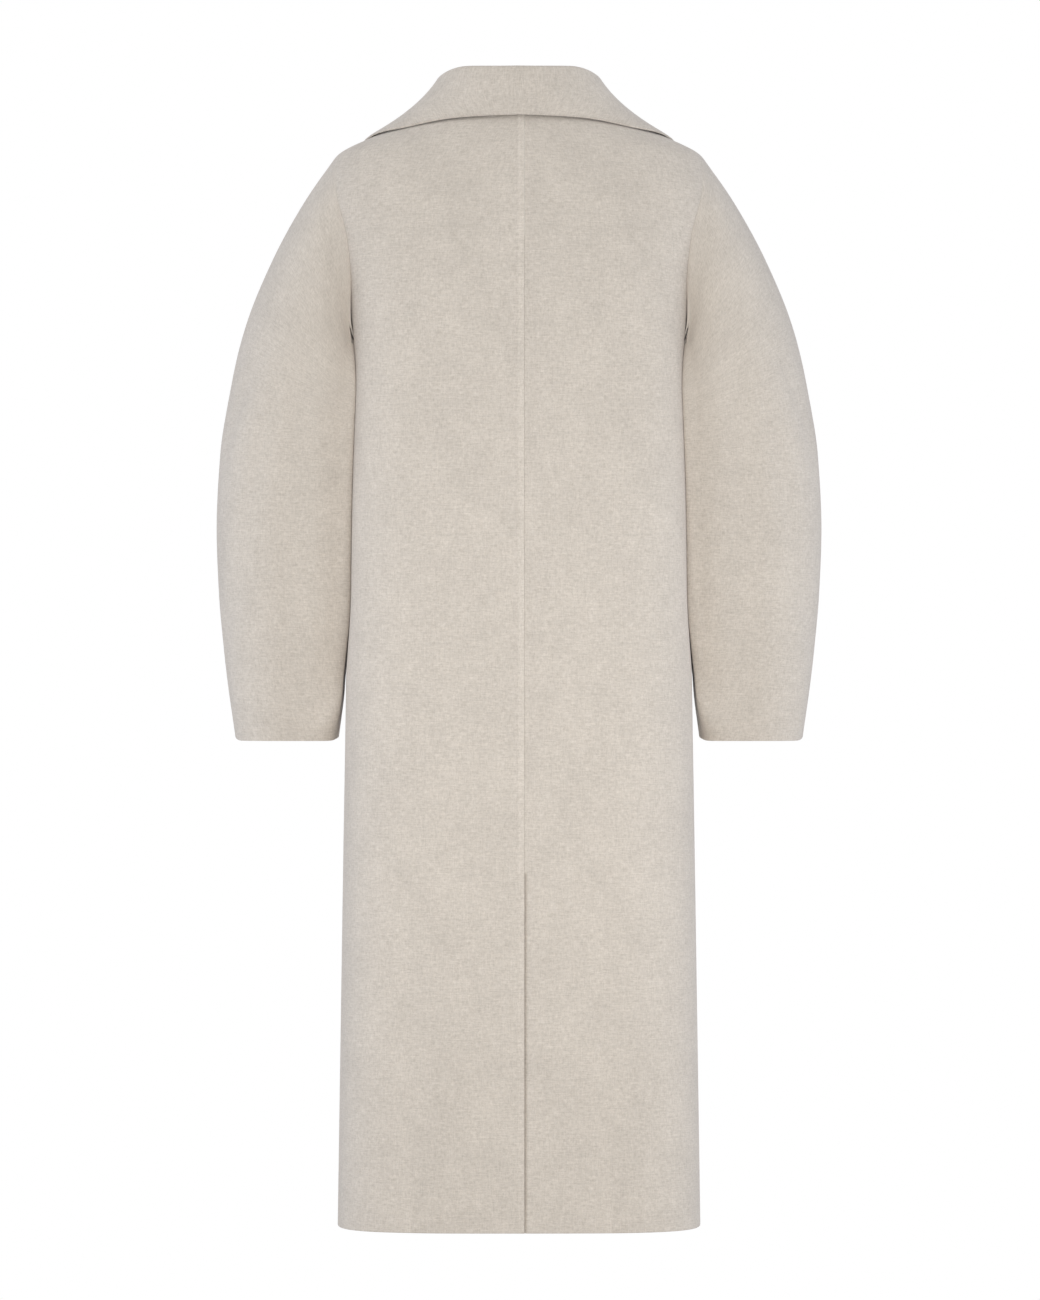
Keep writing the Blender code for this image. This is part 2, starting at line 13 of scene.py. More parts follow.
import bmesh
import bpy
import numpy as np
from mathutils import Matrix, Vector


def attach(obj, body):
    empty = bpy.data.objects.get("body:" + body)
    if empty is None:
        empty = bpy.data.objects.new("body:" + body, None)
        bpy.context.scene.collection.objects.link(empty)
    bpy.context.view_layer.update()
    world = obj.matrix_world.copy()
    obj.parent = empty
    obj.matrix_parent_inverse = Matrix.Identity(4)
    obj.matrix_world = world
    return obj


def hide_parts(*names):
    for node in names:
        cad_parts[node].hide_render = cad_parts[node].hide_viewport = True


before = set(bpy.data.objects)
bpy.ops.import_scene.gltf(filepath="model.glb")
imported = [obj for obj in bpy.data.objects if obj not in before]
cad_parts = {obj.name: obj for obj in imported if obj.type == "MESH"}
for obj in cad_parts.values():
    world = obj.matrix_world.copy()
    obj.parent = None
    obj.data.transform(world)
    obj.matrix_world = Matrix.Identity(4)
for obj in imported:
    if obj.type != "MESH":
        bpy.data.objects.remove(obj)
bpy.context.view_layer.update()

Array = np.ndarray
Colour = tuple[float, float, float]
Material = bpy.types.Material
Node = bpy.types.Node
Piece = bpy.types.Object
Socket = bpy.types.NodeSocket
Tree = bpy.types.NodeTree
LOG = logging.getLogger("coat")

# Cloth
CLOTH = 0.0024  # thickness of the wool
SEAM = 0.0003  # gap under a collar or lapel where it is sewn on
SEWN_GAP = 0.00006  # gap between two panels along a pressed seam
LAYER = 0.0012  # air between two layers that lie on each other
LAPEL_AIR = 0.0018  # air between a lapel and the front that it lies on
FREE_RIM = 0.0009  # how far a turned edge rounds out
SEAM_RIM = 0.00004  # how far a sewn edge rounds out

# Heights
HEM_Z = -1.161
VENT_TOP_Z = -0.792
BREAK_Z = -0.400
ARMPIT_Z = -0.280
GORGE_Z = -0.060

# Levels of the body's sections
VENT_LEVEL, ARMPIT_LEVEL, SHOULDER_LEVEL, NECK_LEVEL = 1.0, 4.0, 8.0, 10.0
ARM_LEVEL = (ARMPIT_LEVEL + SHOULDER_LEVEL) / 2  # the armhole's middle
ARM_HALF = SHOULDER_LEVEL - ARM_LEVEL

# Buttons
BUTTON_X = 0.075  # each column's distance from the middle
BUTTON_Z = (-0.440, -0.580, -0.720)  # each row's height

# Mesh
CELL = 0.0055  # size of a mesh cell on the panels
ARM_STEPS = 44  # mesh rows along the armhole
SHOULDER_STEPS = 22  # mesh rows from the shoulder to the neck
CELL_CORNERS = ((0, 0), (0, 1), (1, 1), (1, 0))  # steps of row and column to a cell's corners
CELL_NEIGHBOURS = ((-1, 0), (0, 1), (1, 0), (0, -1))  # and to the cells beyond its sides
FLAT_CLOTH = "flat_cloth"  # name of the coordinates on the flat cloth
SEAM_HIGHLIGHT = "pressed"  # name of the mark of painted highlight along pressed seams

# Searches
HALVINGS = 40  # how often a search halves its range
NUDGE = 0.001  # a small step in metres, levels or radians, which finds a direction
TINY = 1e-12  # the least length that is divided by


class Side(Enum):
    """The wearer's left or right half, by the sign of its x."""

    LEFT = 1
    RIGHT = -1

    @property
    def word(self) -> str:
        """The side's name in a node's name."""
        return self.name.lower()

    @property
    def mirror(self) -> Array:
        """What turns the left half's points into this side's."""
        return np.array([float(self.value), 1.0, 1.0])


class Half(Enum):
    """The body's back or front half, by the sign of its y."""

    BACK = 1
    FRONT = -1


def ramp(value: Array | float, start: Array | float, end: float) -> Array:
    """A soft step.

    Args:
        value: where to read it.
        start: where it is 0.
        end: where it is 1.

    Returns:
        The step's height at each value.
    """
    share = np.clip((np.asarray(value, float) - start) / (end - start), 0.0, 1.0)
    return share * share * (3.0 - 2.0 * share)


def past(share: Array, start: float) -> Array:
    """How far a share is past a start, straight from 0 there to 1 at the end."""
    return np.clip((share - start) / (1 - start), 0, 1)


def unit(vectors: Array) -> Array:
    """The vectors at length 1."""
    return vectors / np.maximum(np.linalg.norm(vectors, axis=-1, keepdims=True), TINY)


def between_rows(table: Sequence[tuple], level: Array | float) -> Array:
    """A table's columns at levels between its rows, smooth and never past a row.

    Args:
        table: rows of numbers.
        level: where to read, with 0 at the first row and 1 at the second.

    Returns:
        An array with the table's columns last.
    """
    values = np.array(table, float)
    level = np.clip(np.asarray(level, float), 0.0, len(values) - 1.0)
    row = np.minimum(level.astype(int), len(values) - 2)
    share = (level - row)[..., None]
    slope = np.diff(values, axis=0)
    same_way = slope[:-1] * slope[1:]
    total = slope[:-1] + slope[1:]
    tangent = np.empty_like(values)
    tangent[0], tangent[-1] = slope[0], slope[-1]
    tangent[1:-1] = np.where(same_way > 0, 2 * same_way / np.where(total == 0, 1, total), 0)
    rise = share * share * (3 - 2 * share)
    lead = share * (1 - share) ** 2
    trail = share * share * (share - 1)
    held = values[row] * (1 - rise) + values[row + 1] * rise
    return held + tangent[row] * lead + tangent[row + 1] * trail


class BodyRow(NamedTuple):
    """A closed section: its side point, middle back, middle front, and how square its corners are."""

    side_x: float
    side_z: float
    back_y: float
    back_z: float
    front_y: float
    front_z: float
    square: float


BODY_ROWS = (
    BodyRow(0.1880, HEM_Z, 0.1400, HEM_Z, 0.1460, HEM_Z, 3.6),
    BodyRow(0.1825, VENT_TOP_Z, 0.1345, VENT_TOP_Z, 0.1420, VENT_TOP_Z, 3.5),
    BodyRow(0.1792, -0.5800, 0.1305, -0.5800, 0.1400, -0.5800, 3.4),
    BodyRow(0.1772, BREAK_Z, 0.1285, BREAK_Z, 0.1380, BREAK_Z, 3.4),
    BodyRow(0.1740, ARMPIT_Z, 0.1275, ARMPIT_Z, 0.1340, ARMPIT_Z, 3.6),
    BodyRow(0.1785, -0.2000, 0.1260, -0.1960, 0.1300, -0.2080, 3.4),
    BodyRow(0.1915, -0.1500, 0.1210, -0.1400, 0.1220, -0.1650, 3.1),
    BodyRow(0.2055, -0.0980, 0.1120, -0.0870, 0.1110, -0.1280, 2.8),
    BodyRow(0.1924, -0.0562, 0.1010, -0.0500, 0.1010, -0.1050, 2.3),
    BodyRow(0.1500, -0.0315, 0.0905, -0.0270, 0.0945, -0.0900, 2.1),
    BodyRow(0.0820, 0.0000, 0.0780, -0.0060, 0.0880, -0.0775, 2.0),
)


class Crease(NamedTuple):
    """A soft trough (depth below 0) or ridge from one place on a surface to another."""

    from_x: float
    from_z: float
    to_x: float
    to_z: float
    width: float
    depth: float
    bow: float


BACK_CREASES = (
    Crease(0.118, -0.215, 0.088, -0.470, 0.024, -0.0016, 0.008),
    Crease(-0.122, -0.200, -0.100, -0.400, 0.021, -0.0013, -0.006),
    Crease(0.066, -0.300, 0.050, -0.640, 0.034, 0.0011, 0.010),
    Crease(-0.060, -0.360, -0.072, -0.720, 0.038, 0.0012, -0.012),
    Crease(0.120, -0.640, 0.128, -1.240, 0.030, -0.0019, 0.006),
    Crease(0.058, -0.800, 0.070, -1.250, 0.026, 0.0016, -0.004),
    Crease(-0.050, -0.860, -0.064, -1.260, 0.023, -0.0015, 0.003),
    Crease(-0.108, -0.700, -0.122, -1.230, 0.033, 0.0017, -0.008),
    Crease(-0.140, -0.560, -0.142, -0.980, 0.022, -0.0012, 0.004),
)
FRONT_CREASES = (
    Crease(0.112, -0.230, 0.098, -0.430, 0.023, -0.0015, 0.006),
    Crease(-0.110, -0.240, -0.090, -0.400, 0.020, -0.0012, -0.005),
    Crease(0.104, -0.470, 0.126, -0.820, 0.027, 0.0014, 0.008),
    Crease(-0.118, -0.500, -0.128, -0.900, 0.030, -0.0016, -0.006),
    Crease(0.036, -0.760, 0.050, -1.250, 0.027, -0.0017, 0.005),
    Crease(-0.030, -0.800, -0.046, -1.240, 0.030, 0.0015, 0.006),
    Crease(0.122, -0.860, 0.136, -1.250, 0.026, 0.0018, -0.003),
    Crease(-0.094, -0.780, -0.100, -1.250, 0.024, -0.0018, 0.004),
    Crease(-0.020, -0.455, 0.046, -0.430, 0.012, -0.0008, 0.003),
    Crease(-0.026, -0.590, 0.040, -0.572, 0.013, -0.0009, -0.003),
)
CREASE_FADE = 1.5  # how fast a crease fades out towards its ends


def crease_height(creases: Sequence[Crease], x: Array, z: Array) -> Array:
    """How far the creases move a surface along its normal.

    Args:
        creases: the troughs and ridges.
        x: places across.
        z: places along.

    Returns:
        Heights in metres, below 0 in a trough.
    """
    height = np.zeros_like(x)
    for crease in creases:
        run_x, run_z = crease.to_x - crease.from_x, crease.to_z - crease.from_z
        length = math.hypot(run_x, run_z)
        along = ((x - crease.from_x) * run_x + (z - crease.from_z) * run_z) / length**2
        inside = np.clip(along, 0, 1)
        aside = ((x - crease.from_x) * run_z - (z - crease.from_z) * run_x) / length
        aside = aside - 4 * crease.bow * inside * (1 - inside)  # the full bow at half its length
        fade = np.sin(math.pi * inside) ** CREASE_FADE
        height += crease.depth * fade * np.exp(-((aside / crease.width) ** 2))
    return height


@dataclass(frozen=True)
class BodyForm:
    """The body's outer surface.

    Angles run from 0 at the middle back over 90 degrees at the side to 180 degrees at the middle front.
    """

    rows: tuple[BodyRow, ...] = BODY_ROWS
    press: float = 0.005  # how far the sleeve presses the flank in
    press_y: float = -0.006
    press_half_width: float = 0.065
    press_edge: int = 4  # the higher, the sharper the press ends at that width
    press_top_z: float = -0.225
    press_full_z: float = -0.275
    press_fade_z: float = -0.500
    press_end_z: float = -0.600
    smooth_y: float = 0.055  # nearer to the side line the cloth has no crease
    creased_y: float = 0.095  # and from here on creases have their full depth
    creased_z: float = -0.230
    smooth_z: float = -0.170  # above this it has none

    def columns(self, level: Array) -> Array:
        """The section's sizes at each level, one size after the other."""
        return np.moveaxis(between_rows(self.rows, level), -1, 0)

    def point(self, level: Array, angle: Array) -> Array:
        """Points of the left half.

        Args:
            level: where between the sections.
            angle: where round the section, in radians.

        Returns:
            Points, with x, y and z last.
        """
        side_x, side_z, back_y, back_z, front_y, front_z, square = self.columns(level)
        sine, cosine = np.sin(angle), np.cos(angle)
        half_y = np.where(cosine >= 0, back_y, front_y)
        middle_z = np.where(cosine >= 0, back_z, front_z)
        reach = (np.abs(sine / side_x) ** square + np.abs(cosine / half_y) ** square) ** (-1 / square)
        x, y = reach * sine, reach * cosine
        z = side_z + (middle_z - side_z) * (y / half_y) ** 2
        pressed = ramp(z, self.press_end_z, self.press_fade_z)
        pressed = pressed * (1 - ramp(z, self.press_full_z, self.press_top_z))
        pressed = pressed * np.exp(-(((y - self.press_y) / self.press_half_width) ** self.press_edge))
        return np.stack([x - np.sign(sine) * self.press * pressed, y, z], axis=-1)

    def normal(self, level: Array, angle: Array) -> Array:
        """The outward direction at each place.

        Args:
            level: where between the sections.
            angle: where round the section, in radians.

        Returns:
            Directions of length 1.
        """
        above = self.point(np.minimum(level + NUDGE, NECK_LEVEL), angle)
        below = self.point(np.maximum(level - NUDGE, 0), angle)
        turn = self.point(level, angle + NUDGE) - self.point(level, angle - NUDGE)
        return unit(np.cross(above - below, turn))

    def off(self, level: Array, angle: Array, height: Array | float) -> Array:
        """Points that stand off the surface by a height."""
        return self.point(level, angle) + self.normal(level, angle) * np.asarray(height)[..., None]

    def _half_section(self, level: Array, half: Half) -> tuple[Array, Array, Array]:
        """A section's half width, its depth to the half's middle, and how square it is."""
        side_x, _, back_y, _, front_y, _, square = self.columns(level)
        return side_x, back_y if half is Half.BACK else front_y, square

    def angle_at_x(self, level: Array, x: Array | float, half: Half) -> Array:
        """The angle of a half's point at a distance from the middle plane.

        Args:
            level: where between the sections.
            x: the distance, below 0 across the middle.
            half: back or front.

        Returns:
            Angles in radians.
        """
        side_x, half_y, square = self._half_section(level, half)
        share = np.clip(1 - (np.abs(x) / side_x) ** square, 0, 1) ** (1 / square)
        turn = np.arctan2(x, share * half_y)
        return turn if half is Half.BACK else math.pi - turn

    def angle_at_y(self, level: Array, y: Array | float, half: Half) -> Array:
        """The angle of a half's point at a distance from the side line.

        Args:
            level: where between the sections.
            y: the distance, 0 or more.
            half: back or front.

        Returns:
            Angles in radians.
        """
        side_x, half_y, square = self._half_section(level, half)
        x = side_x * np.clip(1 - (y / half_y) ** square, 0, 1) ** (1 / square)
        return math.pi / 2 - np.arctan2(y, x) * half.value

    def _level_at(self, z: Array, top: float, angle_at: Callable[[Array], Array]) -> Array:
        """Finds where a line up the body reaches a height.

        Args:
            z: the heights.
            top: the line's highest level.
            angle_at: gives the line's angle at a level.

        Returns:
            The level for each height.
        """
        low, high = np.zeros_like(z), np.full_like(z, top)
        for _ in range(HALVINGS):
            level = (low + high) / 2
            below = self.point(level, angle_at(level))[..., 2] < z
            low, high = np.where(below, level, low), np.where(below, high, level)
        return level

    def front_at(self, x: Array, z: Array) -> tuple[Array, Array]:
        """Levels and angles of the front's points at these distances from the middle plane and heights."""
        level = self._level_at(z, NECK_LEVEL, lambda tried: self.angle_at_x(tried, x, Half.FRONT))
        return level, self.angle_at_x(level, x, Half.FRONT)

    def _flank_angle(self, level: Array, y: Array) -> Array:
        """The angle of the flank's point at a depth.

        Args:
            level: where between the sections.
            y: the depth, above 0 towards the back.

        Returns:
            Angles in radians.
        """
        back = self.angle_at_y(level, np.abs(y), Half.BACK)
        front = self.angle_at_y(level, np.abs(y), Half.FRONT)
        return np.where(y >= 0, back, front)

    def flank_x(self, z: Array, y: Array) -> Array:
        """Half the body's width at these heights below the shoulder and depths."""
        level = self._level_at(z, SHOULDER_LEVEL, lambda tried: self._flank_angle(tried, y))
        return self.point(level, self._flank_angle(level, y))[..., 0]

    def crease(self, side: Side, level: Array, angle: Array) -> Array:
        """How far the creases stand off the plain form, 0 at the side seams, the shoulders and the neck.

        Args:
            side: the half of the coat.
            level: where between the sections.
            angle: where round the section, in radians.

        Returns:
            Heights in metres, below 0 in a trough.
        """
        point = self.point(level, angle)
        x, y, z = point[..., 0] * side.value, point[..., 1], point[..., 2]
        free = ramp(np.abs(y), self.smooth_y, self.creased_y) * (1 - ramp(z, self.creased_z, self.smooth_z))
        back = crease_height(BACK_CREASES, x, z)
        front = crease_height(FRONT_CREASES, x, z)
        return np.where(y >= 0, back, front) * free


BODY = BodyForm()


def arm_depth(level: Array, deepest: float) -> Array:
    """How far the armhole's edge stands from the side line, 0 at the armpit and at the shoulder."""
    share = (np.asarray(level) - ARM_LEVEL) / ARM_HALF
    return deepest * np.sqrt(np.clip(1 - share * share, 0, 1))


@dataclass(frozen=True)
class Armhole:
    """The armhole's size and the gap between its edge and the sleeve."""

    back: float = 0.075
    front: float = 0.078
    gap: float = 0.00004

    def point(self, turn: Array) -> Array:
        """The edge's points.

        Args:
            turn: radians from the armpit over the back to the shoulder and on over the front.

        Returns:
            Points, with x, y and z last.
        """
        level = ARM_LEVEL - ARM_HALF * np.cos(turn)
        back = BODY.angle_at_y(level, arm_depth(level, self.back), Half.BACK)
        front = BODY.angle_at_y(level, arm_depth(level, self.front), Half.FRONT)
        point = BODY.point(level, np.where(np.sin(turn) >= 0, back, front))
        return point + np.array([self.gap, 0, 0])


ARMHOLE = Armhole()


def fine_levels() -> Array:
    """The panels' mesh rows, about a cell apart and closer where the armhole turns.

    Returns:
        Their levels, from the hem to the neck.
    """
    levels = []
    for row in range(int(ARMPIT_LEVEL)):
        height = BODY_ROWS[row + 1].side_z - BODY_ROWS[row].side_z
        levels.append(np.linspace(row, row + 1, max(2, round(height / CELL)), endpoint=False))
    levels.append(ARM_LEVEL - ARM_HALF * np.cos(math.pi * np.arange(ARM_STEPS) / ARM_STEPS))
    levels.append(np.linspace(SHOULDER_LEVEL, NECK_LEVEL, SHOULDER_STEPS))
    return np.concatenate(levels)


LEVELS = fine_levels()


def outer_edge(half: Half) -> Array:
    """A panel's outer edge: side seam, armhole, shoulder seam.

    Args:
        half: back or front.

    Returns:
        The edge's angle at each level.
    """
    depth = arm_depth(LEVELS, ARMHOLE.back if half is Half.BACK else ARMHOLE.front)
    seam = SEWN_GAP / 2
    sewn = (LEVELS < ARMPIT_LEVEL) | (LEVELS > SHOULDER_LEVEL)
    return BODY.angle_at_y(LEVELS, np.where(sewn, seam, np.maximum(depth, seam)), half)


class Rims(NamedTuple):
    """How far a shell's edges round out past its points."""

    first_row: float
    last_row: float
    first_column: float
    last_column: float


@dataclass
class Shell:
    """A cloth wall on a grid of points, with rounded edges and flat-cloth coordinates in metres."""

    face: Array  # points of the outer face, by row and column
    normal: Array  # outward directions at these points
    thick: float | Array
    rims: Rims
    tube: bool = False  # whether the last column joins the first
    present: Array | None = None  # which cells are there
    pressed: Array | None = None  # how much painted highlight each point gets along a pressed seam
    rim_steps: int = 6

    def __post_init__(self) -> None:
        """Fills in what isn't given, and turns the grid round if its cells look to the cloth's inside."""
        rows, columns = self.face.shape[:2]
        self.thick = np.broadcast_to(self.thick, (rows, columns))
        if self.present is None:
            self.present = np.ones((rows - 1, columns if self.tube else columns - 1), bool)
        if self.pressed is None:
            self.pressed = np.zeros((rows, columns))
        corner = self.face[:-1, :-1]
        looks = np.cross(self.face[:-1, 1:] - corner, self.face[1:, :-1] - corner)
        if (looks * self.normal[:-1, :-1]).sum() < 0:
            for grid in ("face", "normal", "thick", "present", "pressed"):
                setattr(self, grid, getattr(self, grid)[:, ::-1])
            first_row, last_row, first_column, last_column = self.rims
            self.rims = Rims(first_row, last_row, last_column, first_column)

    def build(self, name: str, outside: Material, inside: Material) -> Piece:
        """Makes the closed mesh.

        Args:
            name: the piece's name.
            outside: finish of the face and the edges.
            inside: finish of the back.

        Returns:
            The new object, linked to the scene.
        """
        rows, columns = self.face.shape[:2]
        size = rows * columns
        row, column = np.nonzero(self.present)
        ring = [(row + down, column + across) for down, across in CELL_CORNERS]
        corner = np.stack([r * columns + c % columns for r, c in ring], axis=1)
        flat = np.stack([r * (columns + 1) + c for r, c in ring], axis=1)
        edges = self._edges()
        inset, outward, rim = self._outward(edges)
        face, normal = inset.reshape(-1, 3), self.normal.reshape(-1, 3)
        thick = self.thick.reshape(-1, 1)
        rim = rim[:, None] * thick / thick.max()
        back = face - thick * normal
        shown = self._shown_normal()
        points, normals = [face, back], [shown, -shown]
        quads, flat_quads = [corner, corner[:, ::-1] + size], [flat, flat[:, ::-1]]
        # The edge is half a round from the face to the back
        border = np.unique(edges[:, 0])
        place = np.full(size, -1)
        place[border] = np.arange(len(border))
        middle = (face[border] + back[border]) / 2
        half, reach = thick[border] / 2, rim[border]
        layers = [border]
        for step in range(1, self.rim_steps):
            turn = math.pi * step / self.rim_steps
            raised = normal[border] * half * math.cos(turn)
            pushed = outward[border] * reach * math.sin(turn)
            leaning = shown[border] * reach * math.cos(turn) + outward[border] * half * math.sin(turn)
            layers.append(2 * size + (step - 1) * len(border) + np.arange(len(border)))
            points.append(middle + raised + pushed)
            normals.append(unit(leaning))
        layers.append(border + size)
        start, end = place[edges[:, 0]], place[edges[:, 1]]
        for low, high in zip(layers, layers[1:]):
            quads.append(np.stack([low[end], low[start], high[start], high[end]], axis=1))
            flat_quads.append(edges[:, [3, 2, 2, 3]])
        made = self._object(
            name,
            np.concatenate(points),
            np.concatenate(normals),
            np.concatenate(quads),
            self._flat()[np.concatenate(flat_quads).ravel()],
        )
        made.data.materials.append(outside)
        made.data.materials.append(inside)
        slots = np.zeros(len(made.data.polygons), np.int32)
        slots[len(corner) : 2 * len(corner)] = 1
        made.data.polygons.foreach_set("material_index", slots)
        return made

    def _shown_normal(self) -> Array:
        """The outward direction at each point of the creased face, up to its very edge.

        Returns:
            Directions of length 1, one for each point in order.
        """
        face = self.face
        if self.tube:
            face = np.concatenate([face[:, -1:], face, face[:, :1]], axis=1)
        made = unit(np.cross(np.gradient(face, axis=0), np.gradient(face, axis=1)))
        made = (made[:, 1:-1] if self.tube else made).reshape(-1, 3)
        facing = (made * self.normal.reshape(-1, 3)).sum(-1, keepdims=True)
        return np.where(facing < 0, -made, made)

    def _edges(self) -> Array:
        """Finds the wall's border.

        Returns:
            For each border edge its start point, its end point, and the places of both in the flat cloth.
        """
        columns = self.face.shape[1]
        cells = self.present
        found = []
        for row, column in zip(*np.nonzero(cells)):
            ring = [(row + down, column + across) for down, across in CELL_CORNERS]
            for step, (down, across) in enumerate(CELL_NEIGHBOURS):
                next_row, next_column = row + down, column + across
                if self.tube:
                    next_column %= cells.shape[1]
                inside = 0 <= next_row < cells.shape[0] and 0 <= next_column < cells.shape[1]
                if not inside or not cells[next_row, next_column]:
                    (r0, c0), (r1, c1) = ring[step], ring[(step + 1) % len(ring)]
                    flat = (r0 * (columns + 1) + c0, r1 * (columns + 1) + c1)
                    found.append((r0 * columns + c0 % columns, r1 * columns + c1 % columns, *flat))
        return np.array(found, int)

    def _outward(self, edges: Array) -> tuple[Array, Array, Array]:
        """Draws the grid's border in by the rims.

        Args:
            edges: the border, as _edges gives it.

        Returns:
            The drawn-in points, and each border point's outward direction and rim.
        """
        rows, columns = self.face.shape[:2]
        points, normal = self.face.reshape(-1, 3), self.normal.reshape(-1, 3)
        side = unit(points[edges[:, 1]] - points[edges[:, 0]])
        away = np.cross(side, normal[edges[:, 0]])
        outward = np.zeros_like(points)
        for end in (0, 1):
            np.add.at(outward, edges[:, end], unit(away))
        outward = unit(outward - (outward * normal).sum(-1, keepdims=True) * normal)
        rim = np.full((rows, columns), min(self.rims))
        if not self.tube:
            rim[:, 0], rim[:, -1] = self.rims.first_column, self.rims.last_column
        rim[0], rim[-1] = self.rims.first_row, self.rims.last_row
        rim = rim.ravel()
        on_border = np.zeros(len(points), bool)
        on_border[edges[:, 0]] = True
        inset = points - outward * (rim * on_border)[:, None]
        return inset, outward, rim

    def _flat(self) -> Array:
        """Lays the grid out as flat cloth, with one more column where a tube closes.

        Returns:
            Where each point lies, across and along.
        """
        face = np.concatenate([self.face, self.face[:, :1]], axis=1)
        across = np.linalg.norm(np.diff(face, axis=1), axis=-1)
        along = np.linalg.norm(np.diff(face, axis=0), axis=-1)
        u = np.concatenate([np.zeros((len(face), 1)), np.cumsum(across, axis=1)], axis=1)
        v = np.concatenate([np.zeros((1, face.shape[1])), np.cumsum(along, axis=0)], axis=0)
        middle = face.shape[1] // 2
        u = u - u[:, middle : middle + 1]
        v = np.repeat(v[:, middle : middle + 1], face.shape[1], axis=1)
        return np.stack([u, v], axis=-1).reshape(-1, 2)

    def _object(self, name: str, points: Array, normals: Array, quads: Array, flat: Array) -> Piece:
        """Turns arrays into an object with flat-cloth coordinates and the mark of painted seam highlight.

        Args:
            name: the piece's name.
            points: all points, those of the face first.
            normals: the direction in which each point shades.
            quads: the four points of each cell.
            flat: where the four corners of each cell lie on the flat cloth.

        Returns:
            The new object, linked to the scene.
        """
        used, renumbered = np.unique(quads, return_inverse=True)
        mesh = bpy.data.meshes.new(name)
        mesh.from_pydata(points[used].tolist(), [], renumbered.reshape(-1, 4).tolist())
        layer = mesh.uv_layers.new(name=FLAT_CLOTH)
        layer.data.foreach_set("uv", flat.astype(np.float32).ravel())
        pressed = np.zeros(len(points))
        pressed[: self.pressed.size] = self.pressed.ravel()
        mark = mesh.attributes.new(SEAM_HIGHLIGHT, "FLOAT", "POINT")
        mark.data.foreach_set("value", pressed[used].astype(np.float32))
        mesh.shade_smooth()
        mesh.update()
        mesh.normals_split_custom_set_from_vertices(normals[used].tolist())
        made = bpy.data.objects.new(name, mesh)
        bpy.context.scene.collection.objects.link(made)
        return made


class NodeBoard:
    """Adds and joins the nodes of one shader tree."""

    def __init__(self, tree: Tree) -> None:
        """Works on a tree."""
        self.tree = tree

    def add(self, kind: str, **values: object) -> Node:
        """Adds a node of a kind, named without its ShaderNode prefix, and fills it."""
        return self.fill(self.tree.nodes.new("ShaderNode" + kind), **values)

    def fill(self, node: Node, **values: object) -> Node:
        """Sets a node's inputs and settings.

        Args:
            node: the node.
            values: for each input, named in small letters with _ for a space, a socket that feeds it or a
                plain value. Other names are the node's own settings.

        Returns:
            The node.
        """
        for key, value in values.items():
            named = [socket for socket in node.inputs if socket.name.lower().replace(" ", "_") == key]
            if named:
                self.feed(value, named[0])
            else:
                setattr(node, key, value)
        return node

    def feed(self, source: object, target: Socket) -> None:
        """Gives an input a socket or a plain value.

        Args:
            source: the socket or the value.
            target: the input.
        """
        if isinstance(source, Socket):
            self.tree.links.new(source, target)
        else:
            target.default_value = source

    def value(self, operation: str, *terms: object, kind: str = "Math") -> Socket:
        """Reckons with numbers or vectors.

        Args:
            operation: what is done.
            terms: the node's inputs in order, each a socket or a plain value.
            kind: Math for numbers, VectorMath for vectors.

        Returns:
            The socket that brings the result.
        """
        node = self.add(kind, operation=operation)
        for term, target in zip(terms, node.inputs):
            self.feed(term, target)
        return node.outputs[0]

    def noise(self, place: Socket, detail: float, roughness: float) -> Socket:
        """Flat noise with cells of size 1.

        Args:
            place: where to read it, drawn out to the size wanted.
            detail: how many finer layers it has.
            roughness: how strong these are.

        Returns:
            The socket that brings the noise.
        """
        values = {"vector": place, "scale": 1.0, "detail": detail, "roughness": roughness}
        return self.add("TexNoise", noise_dimensions="2D", **values).outputs[0]

    def tones(self, source: Socket, *stops: tuple[float, Colour]) -> Socket:
        """Turns a value into a colour.

        Args:
            source: the value.
            stops: values and their colours, two or more, rising.

        Returns:
            The socket that brings the colour.
        """
        node = self.add("ValToRGB")
        elements = node.color_ramp.elements
        for element, (place, colour) in zip(elements, (stops[0], stops[-1])):
            element.position = place
            element.color = (*colour, 1.0)
        for place, colour in stops[1:-1]:
            elements.new(place).color = (*colour, 1.0)
        self.feed(source, node.inputs[0])
        return node.outputs[0]

    def blend(self, share: Socket, first: Node, second: Node, target: Node) -> None:
        """Sends a mix of two shaders to an output node.

        Args:
            share: how much of the second shader shows.
            first: the shader at 0.
            second: the shader at 1.
            target: the output node.
        """
        mix = self.add("MixShader")
        for source, place in zip((share, first.outputs[0], second.outputs[0]), mix.inputs):
            self.feed(source, place)
        self.feed(mix.outputs[0], target.inputs["Surface"])


def new_finish(name: str) -> tuple[Material, NodeBoard, Node]:
    """Starts a material.

    Args:
        name: the material's name.

    Returns:
        The material, its board and its Principled shader.
    """
    made = bpy.data.materials.new(name)
    made.use_nodes = True
    return made, NodeBoard(made.node_tree), made.node_tree.nodes["Principled BSDF"]


def new_group(
    name: str, inputs: dict[str, str], outputs: dict[str, str]
) -> tuple[NodeBoard, dict[str, Socket], dict[str, Socket]]:
    """An empty shader node group with named sockets.

    Args:
        name: the group's name.
        inputs: socket type of each input.
        outputs: socket type of each output.

    Returns:
        Its board, the sockets that its inputs bring, and the sockets that its outputs take.
    """
    group = bpy.data.node_groups.new(name, "ShaderNodeTree")
    for label, kind in inputs.items():
        group.interface.new_socket(label, in_out="INPUT", socket_type=kind)
    for label, kind in outputs.items():
        group.interface.new_socket(label, in_out="OUTPUT", socket_type=kind)
    board = NodeBoard(group)
    source = group.nodes.new("NodeGroupInput")
    target = group.nodes.new("NodeGroupOutput")
    return board, {s.name: s for s in source.outputs}, {s.name: s for s in target.inputs}


class FibreRun(NamedTuple):
    """One lie of the fibres: its direction, its width for its length, its noise's start, and its weight."""

    degrees: float
    stretch: float
    start: float
    weight: float


